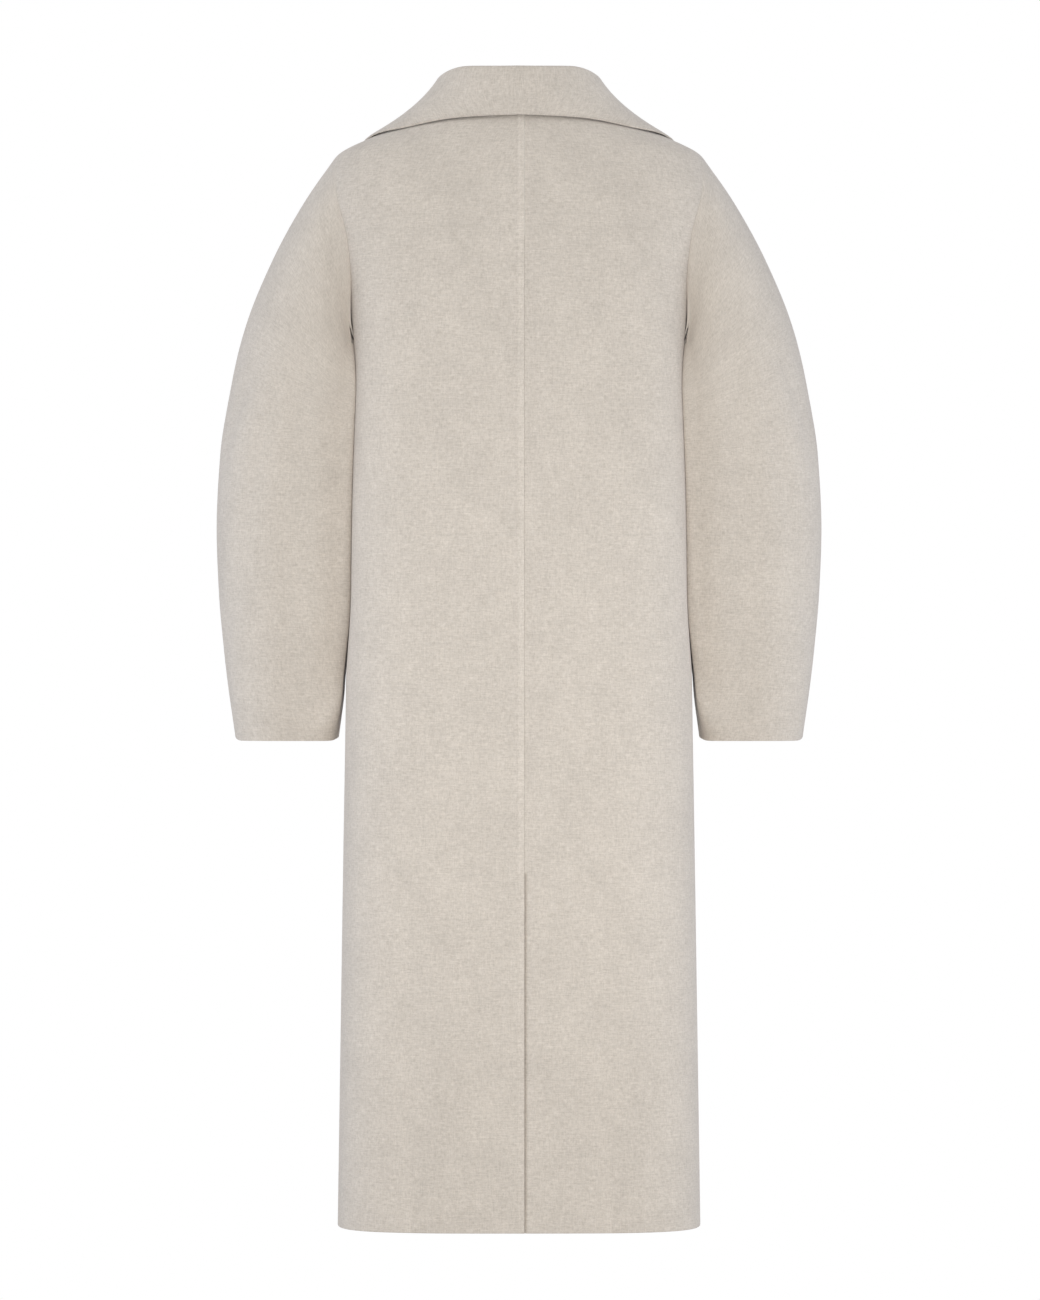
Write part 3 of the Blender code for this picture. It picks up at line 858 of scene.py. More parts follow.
FIBRE_RUNS = (
    FibreRun(2, 0.15, 0.0, 1.0),
    FibreRun(91, 0.18, 17.3, 0.8),
    FibreRun(47, 0.32, 41.9, 0.5),
    FibreRun(-41, 0.32, 73.1, 0.5),
)
FIBRE_NOISE = (2.0, 0.55)  # detail and roughness
FLECK_RANGE = (0.36, 0.64)  # the fibres' mean height from darkest to lightest

# Cells for each metre across and along the cloth, and the layer's weight
MOTTLE_LAYERS = (
    ((18.0, 16.0, 1.0), 0.35),
    ((55.0, 50.0, 1.0), 0.32),
    ((26.0, 420.0, 1.0), 0.30),
    ((400.0, 24.0, 1.0), 0.16),
    ((300.0, 270.0, 1.0), 0.52),
)
MOTTLE_NOISE = (3.0, 0.5)  # detail and roughness
NOISE_MEAN = 0.5


def fibre_group() -> Tree:
    """Crossed felted fibres: a fleck of light and dark, and their height.

    Returns:
        The node group.
    """
    board, given, wanted = new_group(
        "felted_fibres",
        {"Vector": "NodeSocketVector", "Fibres per metre": "NodeSocketFloat"},
        {"Fleck": "NodeSocketFloat", "Height": "NodeSocketFloat"},
    )
    vector, density = given["Vector"], given["Fibres per metre"]
    scaled = board.add("VectorMath", operation="SCALE", vector=vector, scale=density)
    total: Socket | float = 0.0
    for run in FIBRE_RUNS:
        angle = math.radians(run.degrees)
        turned = board.add("VectorRotate", rotation_type="Z_AXIS", vector=scaled.outputs[0], angle=angle)
        stretch, start = (run.stretch, 1.0, 1.0), (run.start, run.start, 0.0)
        drawn = board.value("MULTIPLY_ADD", turned.outputs[0], stretch, start, kind="VectorMath")
        height = board.noise(drawn, *FIBRE_NOISE)
        total = board.value("ADD", total, board.value("MULTIPLY", height, run.weight))
    mean = board.value("DIVIDE", total, sum(run.weight for run in FIBRE_RUNS))
    darkest, lightest = FLECK_RANGE
    spread = board.add("MapRange", value=mean, from_min=darkest, from_max=lightest)
    board.feed(spread.outputs[0], wanted["Fleck"])
    board.feed(mean, wanted["Height"])
    return board.tree


def mottle_group() -> Tree:
    """Slow light and dark over the cloth: cloudy patches and faint streaks along weft and warp.

    Returns:
        The node group.
    """
    board, given, wanted = new_group(
        "cloth_mottle", {"Vector": "NodeSocketVector"}, {"Shade": "NodeSocketFloat"}
    )
    total: Socket | float = 0.0
    for scale, weight in MOTTLE_LAYERS:
        drawn = board.value("MULTIPLY", given["Vector"], scale, kind="VectorMath")
        centred = board.value("SUBTRACT", board.noise(drawn, *MOTTLE_NOISE), NOISE_MEAN)
        total = board.value("ADD", total, board.value("MULTIPLY", centred, weight))
    board.feed(total, wanted["Shade"])
    return board.tree


@dataclass(frozen=True)
class WoolFinish:
    """Brushed melange wool."""

    name: str
    dark: Colour = (0.557, 0.503, 0.441)
    middle: Colour = (0.640, 0.585, 0.521)
    light: Colour = (0.707, 0.653, 0.591)
    fibres_per_metre: float = 820.0
    mottle: float = 0.37
    seam_highlight_lift: float = 0.065  # how much lighter the painted highlight along a pressed seam makes the cloth
    nap_height: float = 0.0007
    nap_strength: float = 0.26
    dark_roughness: float = 0.98
    light_roughness: float = 0.86
    specular: float = 0.18
    sheen: float = 0.30
    sheen_roughness: float = 0.55
    sheen_tint: Colour = (0.94, 0.94, 1.0)

    def make(self, fibres: Tree, mottle: Tree) -> Material:
        """Builds the material.

        Args:
            fibres: the felted fibre group.
            mottle: the mottle group.

        Returns:
            The material.
        """
        made, board, shader = new_finish(self.name)
        place = board.add("UVMap", uv_map=FLAT_CLOTH).outputs[0]
        felt = board.add("Group", node_tree=fibres, vector=place, fibres_per_metre=self.fibres_per_metre)
        patches = board.add("Group", node_tree=mottle, vector=place)
        pressed = board.add("Attribute", attribute_name=SEAM_HIGHLIGHT)
        fleck = felt.outputs["Fleck"]
        tones = board.tones(fleck, (0.0, self.dark), (0.5, self.middle), (1.0, self.light))
        shade = board.value("MULTIPLY_ADD", patches.outputs["Shade"], self.mottle, 1.0)
        # Painted highlight: the seam mark lightens the colour where the felled seam's ridge catches light
        lift = board.value("MULTIPLY", pressed.outputs["Fac"], self.seam_highlight_lift)
        light = board.value("ADD", shade, lift)
        shaded = board.add("VectorMath", operation="SCALE", vector=tones, scale=light)
        rough = board.add("MapRange", value=fleck, to_min=self.dark_roughness, to_max=self.light_roughness)
        nap = {"strength": self.nap_strength, "distance": self.nap_height}
        bump = board.add("Bump", height=felt.outputs["Height"], **nap)
        board.fill(
            shader,
            base_color=shaded.outputs[0],
            roughness=rough.outputs[0],
            normal=bump.outputs[0],
            specular_ior_level=self.specular,
            sheen_weight=self.sheen,
            sheen_roughness=self.sheen_roughness,
            sheen_tint=(*self.sheen_tint, 1.0),
        )
        return made


@dataclass(frozen=True)
class HornFinish:
    """Polished horn, clouded along its grain."""

    name: str = "horn"
    dark: Colour = (0.205, 0.150, 0.098)
    light: Colour = (0.470, 0.385, 0.285)
    dark_to: float = 0.32  # the clouds' values between which the two colours blend
    light_from: float = 0.68
    clouds_per_metre: tuple[float, float, float] = (60.0, 60.0, 190.0)
    cloud_detail: float = 4.0
    cloud_roughness: float = 0.6
    cloud_swirl: float = 1.4
    dark_roughness: float = 0.24
    light_roughness: float = 0.42
    polish: float = 0.25
    polish_roughness: float = 0.2

    def make(self) -> Material:
        """Builds the material.

        Returns:
            The material.
        """
        made, board, shader = new_finish(self.name)
        place = board.add("TexCoord").outputs["Object"]
        drawn = board.value("MULTIPLY", place, self.clouds_per_metre, kind="VectorMath")
        clouds = board.add(
            "TexNoise",
            vector=drawn,
            scale=1.0,
            detail=self.cloud_detail,
            roughness=self.cloud_roughness,
            distortion=self.cloud_swirl,
        ).outputs[0]
        rough = board.add("MapRange", value=clouds, to_min=self.dark_roughness, to_max=self.light_roughness)
        board.fill(
            shader,
            base_color=board.tones(clouds, (self.dark_to, self.dark), (self.light_from, self.light)),
            roughness=rough.outputs[0],
            coat_weight=self.polish,
            coat_roughness=self.polish_roughness,
        )
        return made


@dataclass(frozen=True)
class ThreadFinish:
    """Twisted sewing thread."""

    name: str = "thread"
    dark: Colour = (0.390, 0.340, 0.270)
    light: Colour = (0.590, 0.535, 0.450)
    twists_per_metre: float = 420.0
    uneven: float = 2.0  # how far the twists stray
    detail: float = 2.0
    twist_height: float = 0.0003
    twist_strength: float = 0.4
    roughness: float = 0.62
    sheen: float = 0.2

    def make(self) -> Material:
        """Builds the material.

        Returns:
            The material.
        """
        made, board, shader = new_finish(self.name)
        twist = board.add(
            "TexWave",
            bands_direction="DIAGONAL",
            vector=board.add("TexCoord").outputs["Object"],
            scale=self.twists_per_metre,
            distortion=self.uneven,
            detail=self.detail,
        ).outputs["Fac"]
        bump = board.add("Bump", strength=self.twist_strength, distance=self.twist_height, height=twist)
        board.fill(
            shader,
            base_color=board.tones(twist, (0.0, self.dark), (1.0, self.light)),
            roughness=self.roughness,
            normal=bump.outputs[0],
            sheen_weight=self.sheen,
        )
        return made


class Cut(NamedTuple):
    """A piece's flat cut: its width and length, and its area where it isn't a rectangle."""

    width: float
    length: float
    area: float


@dataclass
class Finishes:
    """The coat's materials."""

    outside: Material
    inside: Material
    horn: Material
    thread: Material

    @classmethod
    def make(cls) -> "Finishes":
        """Builds every material once.

        Returns:
            The materials.
        """
        fibres, mottle = fibre_group(), mottle_group()
        reverse = WoolFinish("wool_reverse", mottle=0.16, nap_strength=0.2, sheen=0.08)
        return cls(
            WoolFinish("wool").make(fibres, mottle),
            reverse.make(fibres, mottle),
            HornFinish().make(),
            ThreadFinish().make(),
        )


class Assembly(Protocol):
    """A sub-assembly of the coat, which makes its own pieces."""

    def build(self, finishes: Finishes) -> list[Piece]:
        """Makes and dresses the pieces."""


def add_cloth(
    shell: Shell, node: str, faces: tuple[Material, Material]
) -> list[Piece]:
    """Makes a cloth piece and puts it in its solid's place.

    Args:
        shell: the piece's wall.
        node: the solid that it stands for.
        faces: the finishes of its outside and its inside.

    Returns:
        The piece, as the only one of its assembly.
    """
    made = shell.build(node + "_cloth", *faces)
    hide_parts(node)
    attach(made, "root")
    return [made]


@dataclass
class BackPanel:
    """A back panel. The left one has the felled centre seam and laps over the right one at the vent."""

    side: Side
    cut: Cut = Cut(0.30, 1.19, 0.30)
    seam_x: float = -0.0055  # the centre seam stands a little towards the wearer's right
    seam_columns_mm: tuple[float, ...] = (0, 0.8, 1.6, 2.6, 3.6, 4.6, 5.6, 6.6, 7.8, 9.4, 11.5, 14, 18)
    underlap: float = 0.045
    underlap_top: float = 0.982  # its level
    underlap_columns: int = 9
    sink_width: float = 0.007  # the right panel sinks over this width beside the vent
    sink_air: float = 0.0008
    sink_power: int = 3
    ridge_height: float = 0.0006
    ridge_width: float = 0.0062
    ridge_full: float = 0.85  # shares of that width between which the ridge ends
    ridge_end: float = 1.15
    ridge_vent_loss: float = 0.5  # share of the ridge and of its painted highlight that is missing along the vent
    under_seam_highlight: float = 0.35  # how much painted highlight the right panel gets beside the seam
    under_width: float = 0.004
    centre_rim: float = 0.0003
    held_share: float = 0.5  # up to this share of the way to the side no column follows the armhole
    held_columns: int = 16
    side_columns: int = 24

    def _angles(self) -> tuple[Array, Array, float]:
        """Lays out the panel's mesh.

        Returns:
            Grids of level and angle, and the seam's distance from the middle plane on this side.
        """
        seam = self.side.value * self.seam_x + SEWN_GAP / 2
        near_x = seam + np.array(self.seam_columns_mm) / 1000
        if self.side is Side.RIGHT:
            under_x = np.linspace(seam - self.underlap, seam, self.underlap_columns, endpoint=False)
            near_x = np.concatenate([under_x, near_x])
        near = [BODY.angle_at_x(LEVELS, x, Half.BACK) for x in near_x]
        start, end = near[-1], outer_edge(Half.BACK)
        hold = start + (math.pi / 2 - start) * self.held_share
        held = [start + (hold - start) * share for share in np.linspace(0, 1, self.held_columns + 1)[1:]]
        beside = [hold + (end - hold) * share for share in np.linspace(0, 1, self.side_columns + 1)[1:]]
        angle = np.stack(near + held + beside, axis=1)
        return np.repeat(LEVELS[:, None], angle.shape[1], axis=1), angle, seam

    def build(self, finishes: Finishes) -> list[Piece]:
        """Makes and dresses the panel.

        Args:
            finishes: the coat's materials.

        Returns:
            The panel.
        """
        level, angle, seam = self._angles()
        beside = BODY.point(level, angle)[..., 0] - seam
        height = BODY.crease(self.side, level, angle)
        open_below = 1 - ramp(level, self.underlap_top, VENT_LEVEL)
        present = None
        if self.side is Side.LEFT:
            # Share of the felled seam's ridge: it raises the cloth and lightens it with painted highlight
            pressed = 1 - ramp(beside, self.ridge_width * self.ridge_full, self.ridge_width * self.ridge_end)
            pressed = pressed * (1 - self.ridge_vent_loss * open_below)
            height = height + self.ridge_height * pressed
        else:
            # Painted highlight on the right panel beside the seam
            pressed = self.under_seam_highlight * (1 - ramp(beside, 0.0, self.under_width)) * (1 - open_below)
            sunk = 1 - np.clip(beside / self.sink_width, 0, 1)
            height = height - (CLOTH + self.sink_air) * sunk**self.sink_power * open_below
            present = np.ones((len(LEVELS) - 1, angle.shape[1] - 1), bool)
            present[:, : self.underlap_columns] = LEVELS[1:, None] <= self.underlap_top
        face = BODY.off(level, angle, height) * self.side.mirror
        normal = BODY.normal(level, angle) * self.side.mirror
        rims = Rims(FREE_RIM, SEAM_RIM, self.centre_rim, SEAM_RIM)
        shell = Shell(face, normal, CLOTH, rims, present=present, pressed=pressed)
        return add_cloth(shell, f"back_{self.side.word}", (finishes.outside, finishes.inside))


@dataclass(frozen=True)
class FrontLay:
    """How the fronts lie on each other, and where their free edges and roll lines run."""

    lap: float = 0.111  # how far each front reaches past the middle
    lap_clear: float = 0.006  # the right front stays lifted this far past the lap
    lap_ease: float = 0.040  # and comes down to the body over this width
    gorge_x: float = 0.039
    lapel_foot_z: float = -0.500  # between these heights the right front rises over the left lapel
    lapel_full_z: float = -0.425
    crossing_z: float = -0.155  # between these it comes down again, above the place where the fronts cross
    apart_z: float = -0.100
    edge_rounds: int = 30  # rounds that find the free edge's heights

    def right_lift(self, x: Array, z: Array) -> Array:
        """How far the right front stands off the body, to pass over the left front and its lapel.

        Args:
            x: places across, on the left half's side.
            z: heights.

        Returns:
            Heights over the body.
        """
        start = self.lap + self.lap_clear
        across = 1 - ramp(x, start, start + self.lap_ease)
        above_crossing = ramp(z, self.crossing_z, self.apart_z)
        over_front = CLOTH + LAYER
        over_lapel = (CLOTH + LAPEL_AIR + LAYER) * ramp(z, self.lapel_foot_z, self.lapel_full_z)
        return across * (over_front + over_lapel) * (1 - above_crossing)

    def lift(self, side: Side, x: Array, z: Array) -> Array:
        """How far a front stands off the body."""
        return self.right_lift(x, z) if side is Side.RIGHT else np.zeros_like(x)

    def free_edge(self) -> Array:
        """A front's free edge, straight below the break and then along the roll line.

        Returns:
            The edge's angle at each level.
        """
        middle_front = BodyRow._fields.index("front_z")
        z = BODY.columns(LEVELS)[middle_front]
        for _ in range(self.edge_rounds):
            x = np.interp(z, (BREAK_Z, GORGE_Z), (-self.lap, self.gorge_x))
            angle = BODY.angle_at_x(LEVELS, x, Half.FRONT)
            z = BODY.point(LEVELS, angle)[:, 2]
        return angle

    def on_front(self, side: Side, x: Array, z: Array, height: Array | float) -> Array:
        """Finds points over a front's cloth.

        Args:
            side: the front.
            x: places across, on the left half's side.
            z: heights.
            height: distances over the cloth.

        Returns:
            Points on the left half's side.
        """
        level, angle = BODY.front_at(x, z)
        crease = BODY.crease(side, level, angle)
        return BODY.off(level, angle, self.lift(side, x, z) + crease + height)


LAY = FrontLay()


@dataclass
class FrontPanel:
    """A front panel, from its free edge to the side seam, the armhole and the shoulder seam."""

    side: Side
    cut: Cut = Cut(0.40, 1.12, 0.385)
    lap_share: float = 0.80  # the lapped columns take at most this share of its width
    lapped_columns: int = 42
    beside_columns: int = 26

    def build(self, finishes: Finishes) -> list[Piece]:
        """Makes and dresses the panel.

        Args:
            finishes: the coat's materials.

        Returns:
            The panel.
        """
        side_edge, free_edge = outer_edge(Half.FRONT), LAY.free_edge()
        side_x, free_x = BODY.point(LEVELS, side_edge)[:, 0], BODY.point(LEVELS, free_edge)[:, 0]
        lap_x = np.minimum(LAY.lap, free_x + self.lap_share * (side_x - free_x))
        shares = np.linspace(0, 1, self.lapped_columns)
        lapped = [BODY.angle_at_x(LEVELS, free_x + (lap_x - free_x) * share, Half.FRONT) for share in shares]
        start = lapped[-1]
        beside = [start + (side_edge - start) * share for share in np.linspace(0, 1, self.beside_columns)[1:]]
        angle = np.stack(lapped + beside, axis=1)
        level = np.repeat(LEVELS[:, None], angle.shape[1], axis=1)
        point = BODY.point(level, angle)
        height = LAY.lift(self.side, point[..., 0], point[..., 2]) + BODY.crease(self.side, level, angle)
        face = BODY.off(level, angle, height) * self.side.mirror
        normal = BODY.normal(level, angle) * self.side.mirror
        shell = Shell(face, normal, CLOTH, Rims(FREE_RIM, SEAM_RIM, FREE_RIM, SEAM_RIM))
        return add_cloth(shell, f"front_{self.side.word}", (finishes.outside, finishes.inside))


class SleeveRow(NamedTuple):
    """A sleeve section: its outer point, its inner point's height and gap to the flank, depth and middle."""

    outer_x: float
    outer_z: float
    inner_z: float
    inner_gap: float
    half_depth: float
    middle_y: float


SLEEVE_ROWS = (
    SleeveRow(0.1924, -0.0562, ARMPIT_Z, 0.0008, 0.0760, 0.0000),
    SleeveRow(0.2215, -0.0980, -0.2840, 0.0009, 0.0820, 0.0000),
    SleeveRow(0.2558, -0.1600, -0.2910, 0.0010, 0.0850, -0.0010),
    SleeveRow(0.2808, -0.2226, -0.3020, 0.0012, 0.0860, -0.0030),
    SleeveRow(0.2985, -0.2900, -0.3250, 0.0014, 0.0860, -0.0060),
    SleeveRow(0.3110, -0.3620, -0.3720, 0.0016, 0.0850, -0.0110),
    SleeveRow(0.3151, -0.4400, -0.4400, 0.0016, 0.0830, -0.0170),
    SleeveRow(0.3130, -0.5050, -0.5050, 0.0016, 0.0800, -0.0220),
    SleeveRow(0.3085, -0.5600, -0.5600, 0.0014, 0.0760, -0.0270),
    SleeveRow(0.3035, -0.6060, -0.6060, 0.0028, 0.0710, -0.0320),
    SleeveRow(0.2964, -0.6604, -0.6604, 0.0084, 0.0630, -0.0380),
)

# Across is measured round the sleeve from its outer line, above 0 towards the back
SLEEVE_CREASES = (
    Crease(0.088, -0.215, 0.030, -0.420, 0.013, -0.0020, 0.008),
    Crease(0.098, -0.280, 0.062, -0.500, 0.011, -0.0015, -0.006),
    Crease(0.040, -0.150, 0.010, -0.330, 0.020, 0.0014, 0.010),
    Crease(0.086, -0.470, 0.020, -0.590, 0.014, -0.0014, 0.006),
    Crease(-0.090, -0.330, -0.020, -0.455, 0.011, -0.0024, 0.006),
    Crease(-0.098, -0.385, -0.036, -0.470, 0.009, -0.0020, -0.004),
    Crease(-0.094, -0.450, -0.028, -0.430, 0.010, -0.0018, 0.005),
    Crease(-0.060, -0.200, -0.030, -0.390, 0.018, 0.0016, -0.008),
    Crease(-0.070, -0.500, -0.030, -0.640, 0.016, -0.0014, 0.004),
    Crease(0.050, -0.560, 0.040, -0.680, 0.015, 0.0010, 0.003),
)


@dataclass
class Sleeve:
    """A cocoon sleeve, one tube from the armhole to the cuff.

    Places on it are rows between its sections and turns in radians: 0 at the inner side, then the back, the
    outer side and the front.
    """

    side: Side
    cut: Cut = Cut(0.52, 0.62, 0.25)
    square: float = 2.2  # how square the outer half of a section is
    inner_square: float = 4.5  # the inner half lies flat against the body
    pressed_square: float = 80.0  # and is squarer still where it hangs against the flank
    flank_air: float = 0.0001
    flank_from: float = 129.0  # degrees from the outer line between which it turns onto the flank
    flank_full: float = 134.0
    tuck: float = 0.19  # share of its depth that it loses towards the flank
    tuck_width: float = 0.042
    cuff_round: float = 0.0035  # how far the cuff's edge rises at its sides
    cuff_from: float = 8.6  # the row where that starts
    cuff_power: int = 22  # the higher, the nearer to its sides
    bunch: float = 0.8  # how much closer the mesh columns are at a section's four corners
    corners: int = 4
    fade: float = 3.0  # rows over which it leaves the armhole's shape
    lies_by: float = 0.4  # by this row it lies on the flank
    squares_by: float = 1.2  # and by this one its inner corners are square
    front_leaves_from: float = 4.2  # from these rows on its front and its back leave the flank
    leaves_from: float = 7.4
    leaves_at: float = 8.8
    front_sine: float = 0.6  # sine of the turn where the front's row holds in full
    rounds_from: float = 8.2  # between these rows its inner corners get rounder
    rounds_at: float = 9.9
    crease_radius: float = 0.075  # turns an angle round the sleeve into a distance
    creases_end: float = 2.55  # radians from the outer line where the creases have faded out
    creases_full: float = 1.95  # and where they are full
    creases_from: float = 0.2  # rows between which they grow below the armhole
    creases_by: float = 1.6
    around: int = 160
    along: int = 130

    def _ring(self, row: Array, turn: Array) -> Array:
        """Points of the plain sections.

        Args:
            row: where along the sleeve.
            turn: where round it.

        Returns:
            Points, with x, y and z last.
        """
        sizes = np.moveaxis(between_rows(SLEEVE_ROWS, row), -1, 0)
        outer_x, outer_z, inner_z, inner_gap, half_depth, middle_y = sizes
        inner_x = BODY.flank_x(inner_z, np.zeros_like(inner_z)) + inner_gap
        cosine, sine = np.cos(turn), np.sin(turn)
        hanging = self._hanging(row) * np.where(sine < 0, self._beside(row, turn), 1.0)
        inner_square = self.inner_square + (self.pressed_square - self.inner_square) * hanging
        square = np.where(cosine > 0, inner_square, self.square)
        reach = (np.abs(cosine) ** square + np.abs(sine) ** square) ** (-1 / square)
        out = (1 - reach * cosine) / 2
        x = inner_x + (outer_x - inner_x) * out
        tucked = 1 - self.tuck * hanging * np.clip(1 - (x - inner_x) / self.tuck_width, 0, 1) ** 2
        y = middle_y + half_depth * reach * sine * tucked
        z = inner_z + (outer_z - inner_z) * out
        at_cuff = ramp(row, self.cuff_from, len(SLEEVE_ROWS) - 1.0)
        z = z + self.cuff_round * at_cuff * np.abs(reach * cosine) ** self.cuff_power
        return np.stack([x, y, z], axis=-1)

    def _beside(self, row: Array, turn: Array) -> Array:
        """How far the sleeve lies on the flank.

        Args:
            row: where along the sleeve.
            turn: where round it.

        Returns:
            1 at the upper arm to 0 at the cuff.
        """
        front = ramp(-np.sin(turn), 0.0, self.front_sine)
        start = self.leaves_from + (self.front_leaves_from - self.leaves_from) * front
        return 1 - ramp(row, start, self.leaves_at)

    def _hanging(self, row: Array) -> Array:
        """How square the sleeve's inner corners are, 0 at the armhole and at the cuff."""
        return ramp(row, 0.0, self.squares_by) * (1 - ramp(row, self.rounds_from, self.rounds_at))

    def _plain(self, row: Array, turn: Array) -> Array:
        """The sleeve's surface without creases, from the armhole's own edge.

        Args:
            row: where along the sleeve.
            turn: where round it.

        Returns:
            Points, with x, y and z last.
        """
        leave = (1 - ramp(row, 0, self.fade))[..., None]
        point = self._ring(row, turn) + leave * (ARMHOLE.point(turn) - self._ring(np.zeros_like(row), turn))
        x, y, z = np.moveaxis(point, -1, 0)
        lying = ramp(row, 0.0, self.lies_by) * self._beside(row, turn)
        from_outer = np.abs(turn - math.pi)
        lying = lying * ramp(from_outer, math.radians(self.flank_from), math.radians(self.flank_full))
        x = x - lying * (x - BODY.flank_x(z, y) - self.flank_air)
        return np.stack([x, y, z], axis=-1)

    def build(self, finishes: Finishes) -> list[Piece]:
        """Makes and dresses the sleeve.

        Args:
            finishes: the coat's materials.

        Returns:
            The sleeve.
        """
        last = len(SLEEVE_ROWS) - 1.0
        rows = np.linspace(0, last, self.along)
        turns = np.arange(self.around) * 2 * math.pi / self.around
        turns = turns + self.bunch * np.sin(self.corners * turns) / self.corners
        row, turn = np.meshgrid(rows, turns, indexing="ij")
        plain = self._plain(row, turn)
        above = self._plain(np.maximum(row - NUDGE, 0), turn)
        below = self._plain(np.minimum(row + NUDGE, last), turn)
        about = self._plain(row, turn + NUDGE) - self._plain(row, turn - NUDGE)
        normal = unit(np.cross(about, below - above))
        height = crease_height(SLEEVE_CREASES, (math.pi - turn) * self.crease_radius, plain[..., 2])
        free = ramp(np.abs(turn - math.pi), self.creases_end, self.creases_full)
        free = free * ramp(row, self.creases_from, self.creases_by)
        face = (plain + normal * (height * free)[..., None]) * self.side.mirror
        normal = normal * self.side.mirror
        shell = Shell(face, normal, CLOTH, Rims(SEAM_RIM, FREE_RIM, SEAM_RIM, SEAM_RIM), tube=True)
        return add_cloth(shell, f"sleeve_{self.side.word}", (finishes.outside, finishes.inside))


class CollarRow(NamedTuple):
    """A collar section: its place on the neck edge, stand, roll, and its fall's edge, slope and air."""

    neck_angle: float
    stand: float
    roll: float
    edge_level: float
    edge_angle: float
    leave: float
    edge_air: float


COLLAR_ROWS = (
    CollarRow(0, 0.0415, 0.0055, 9.39, 0, 78, 0.0030),
    CollarRow(40, 0.0402, 0.0055, 9.29, 42, 74, 0.0029),
    CollarRow(70, 0.0315, 0.0055, 9.00, 70, 60, 0.0020),
    CollarRow(90, 0.0228, 0.0055, 8.78, 90, 47, 0.0003),
    CollarRow(120, 0.0165, 0.0052, 8.40, 114, 24, 0.0020),
    CollarRow(153.3, 0.0085, 0.0048, 7.89, 126.1, 8, 0.0018),
)


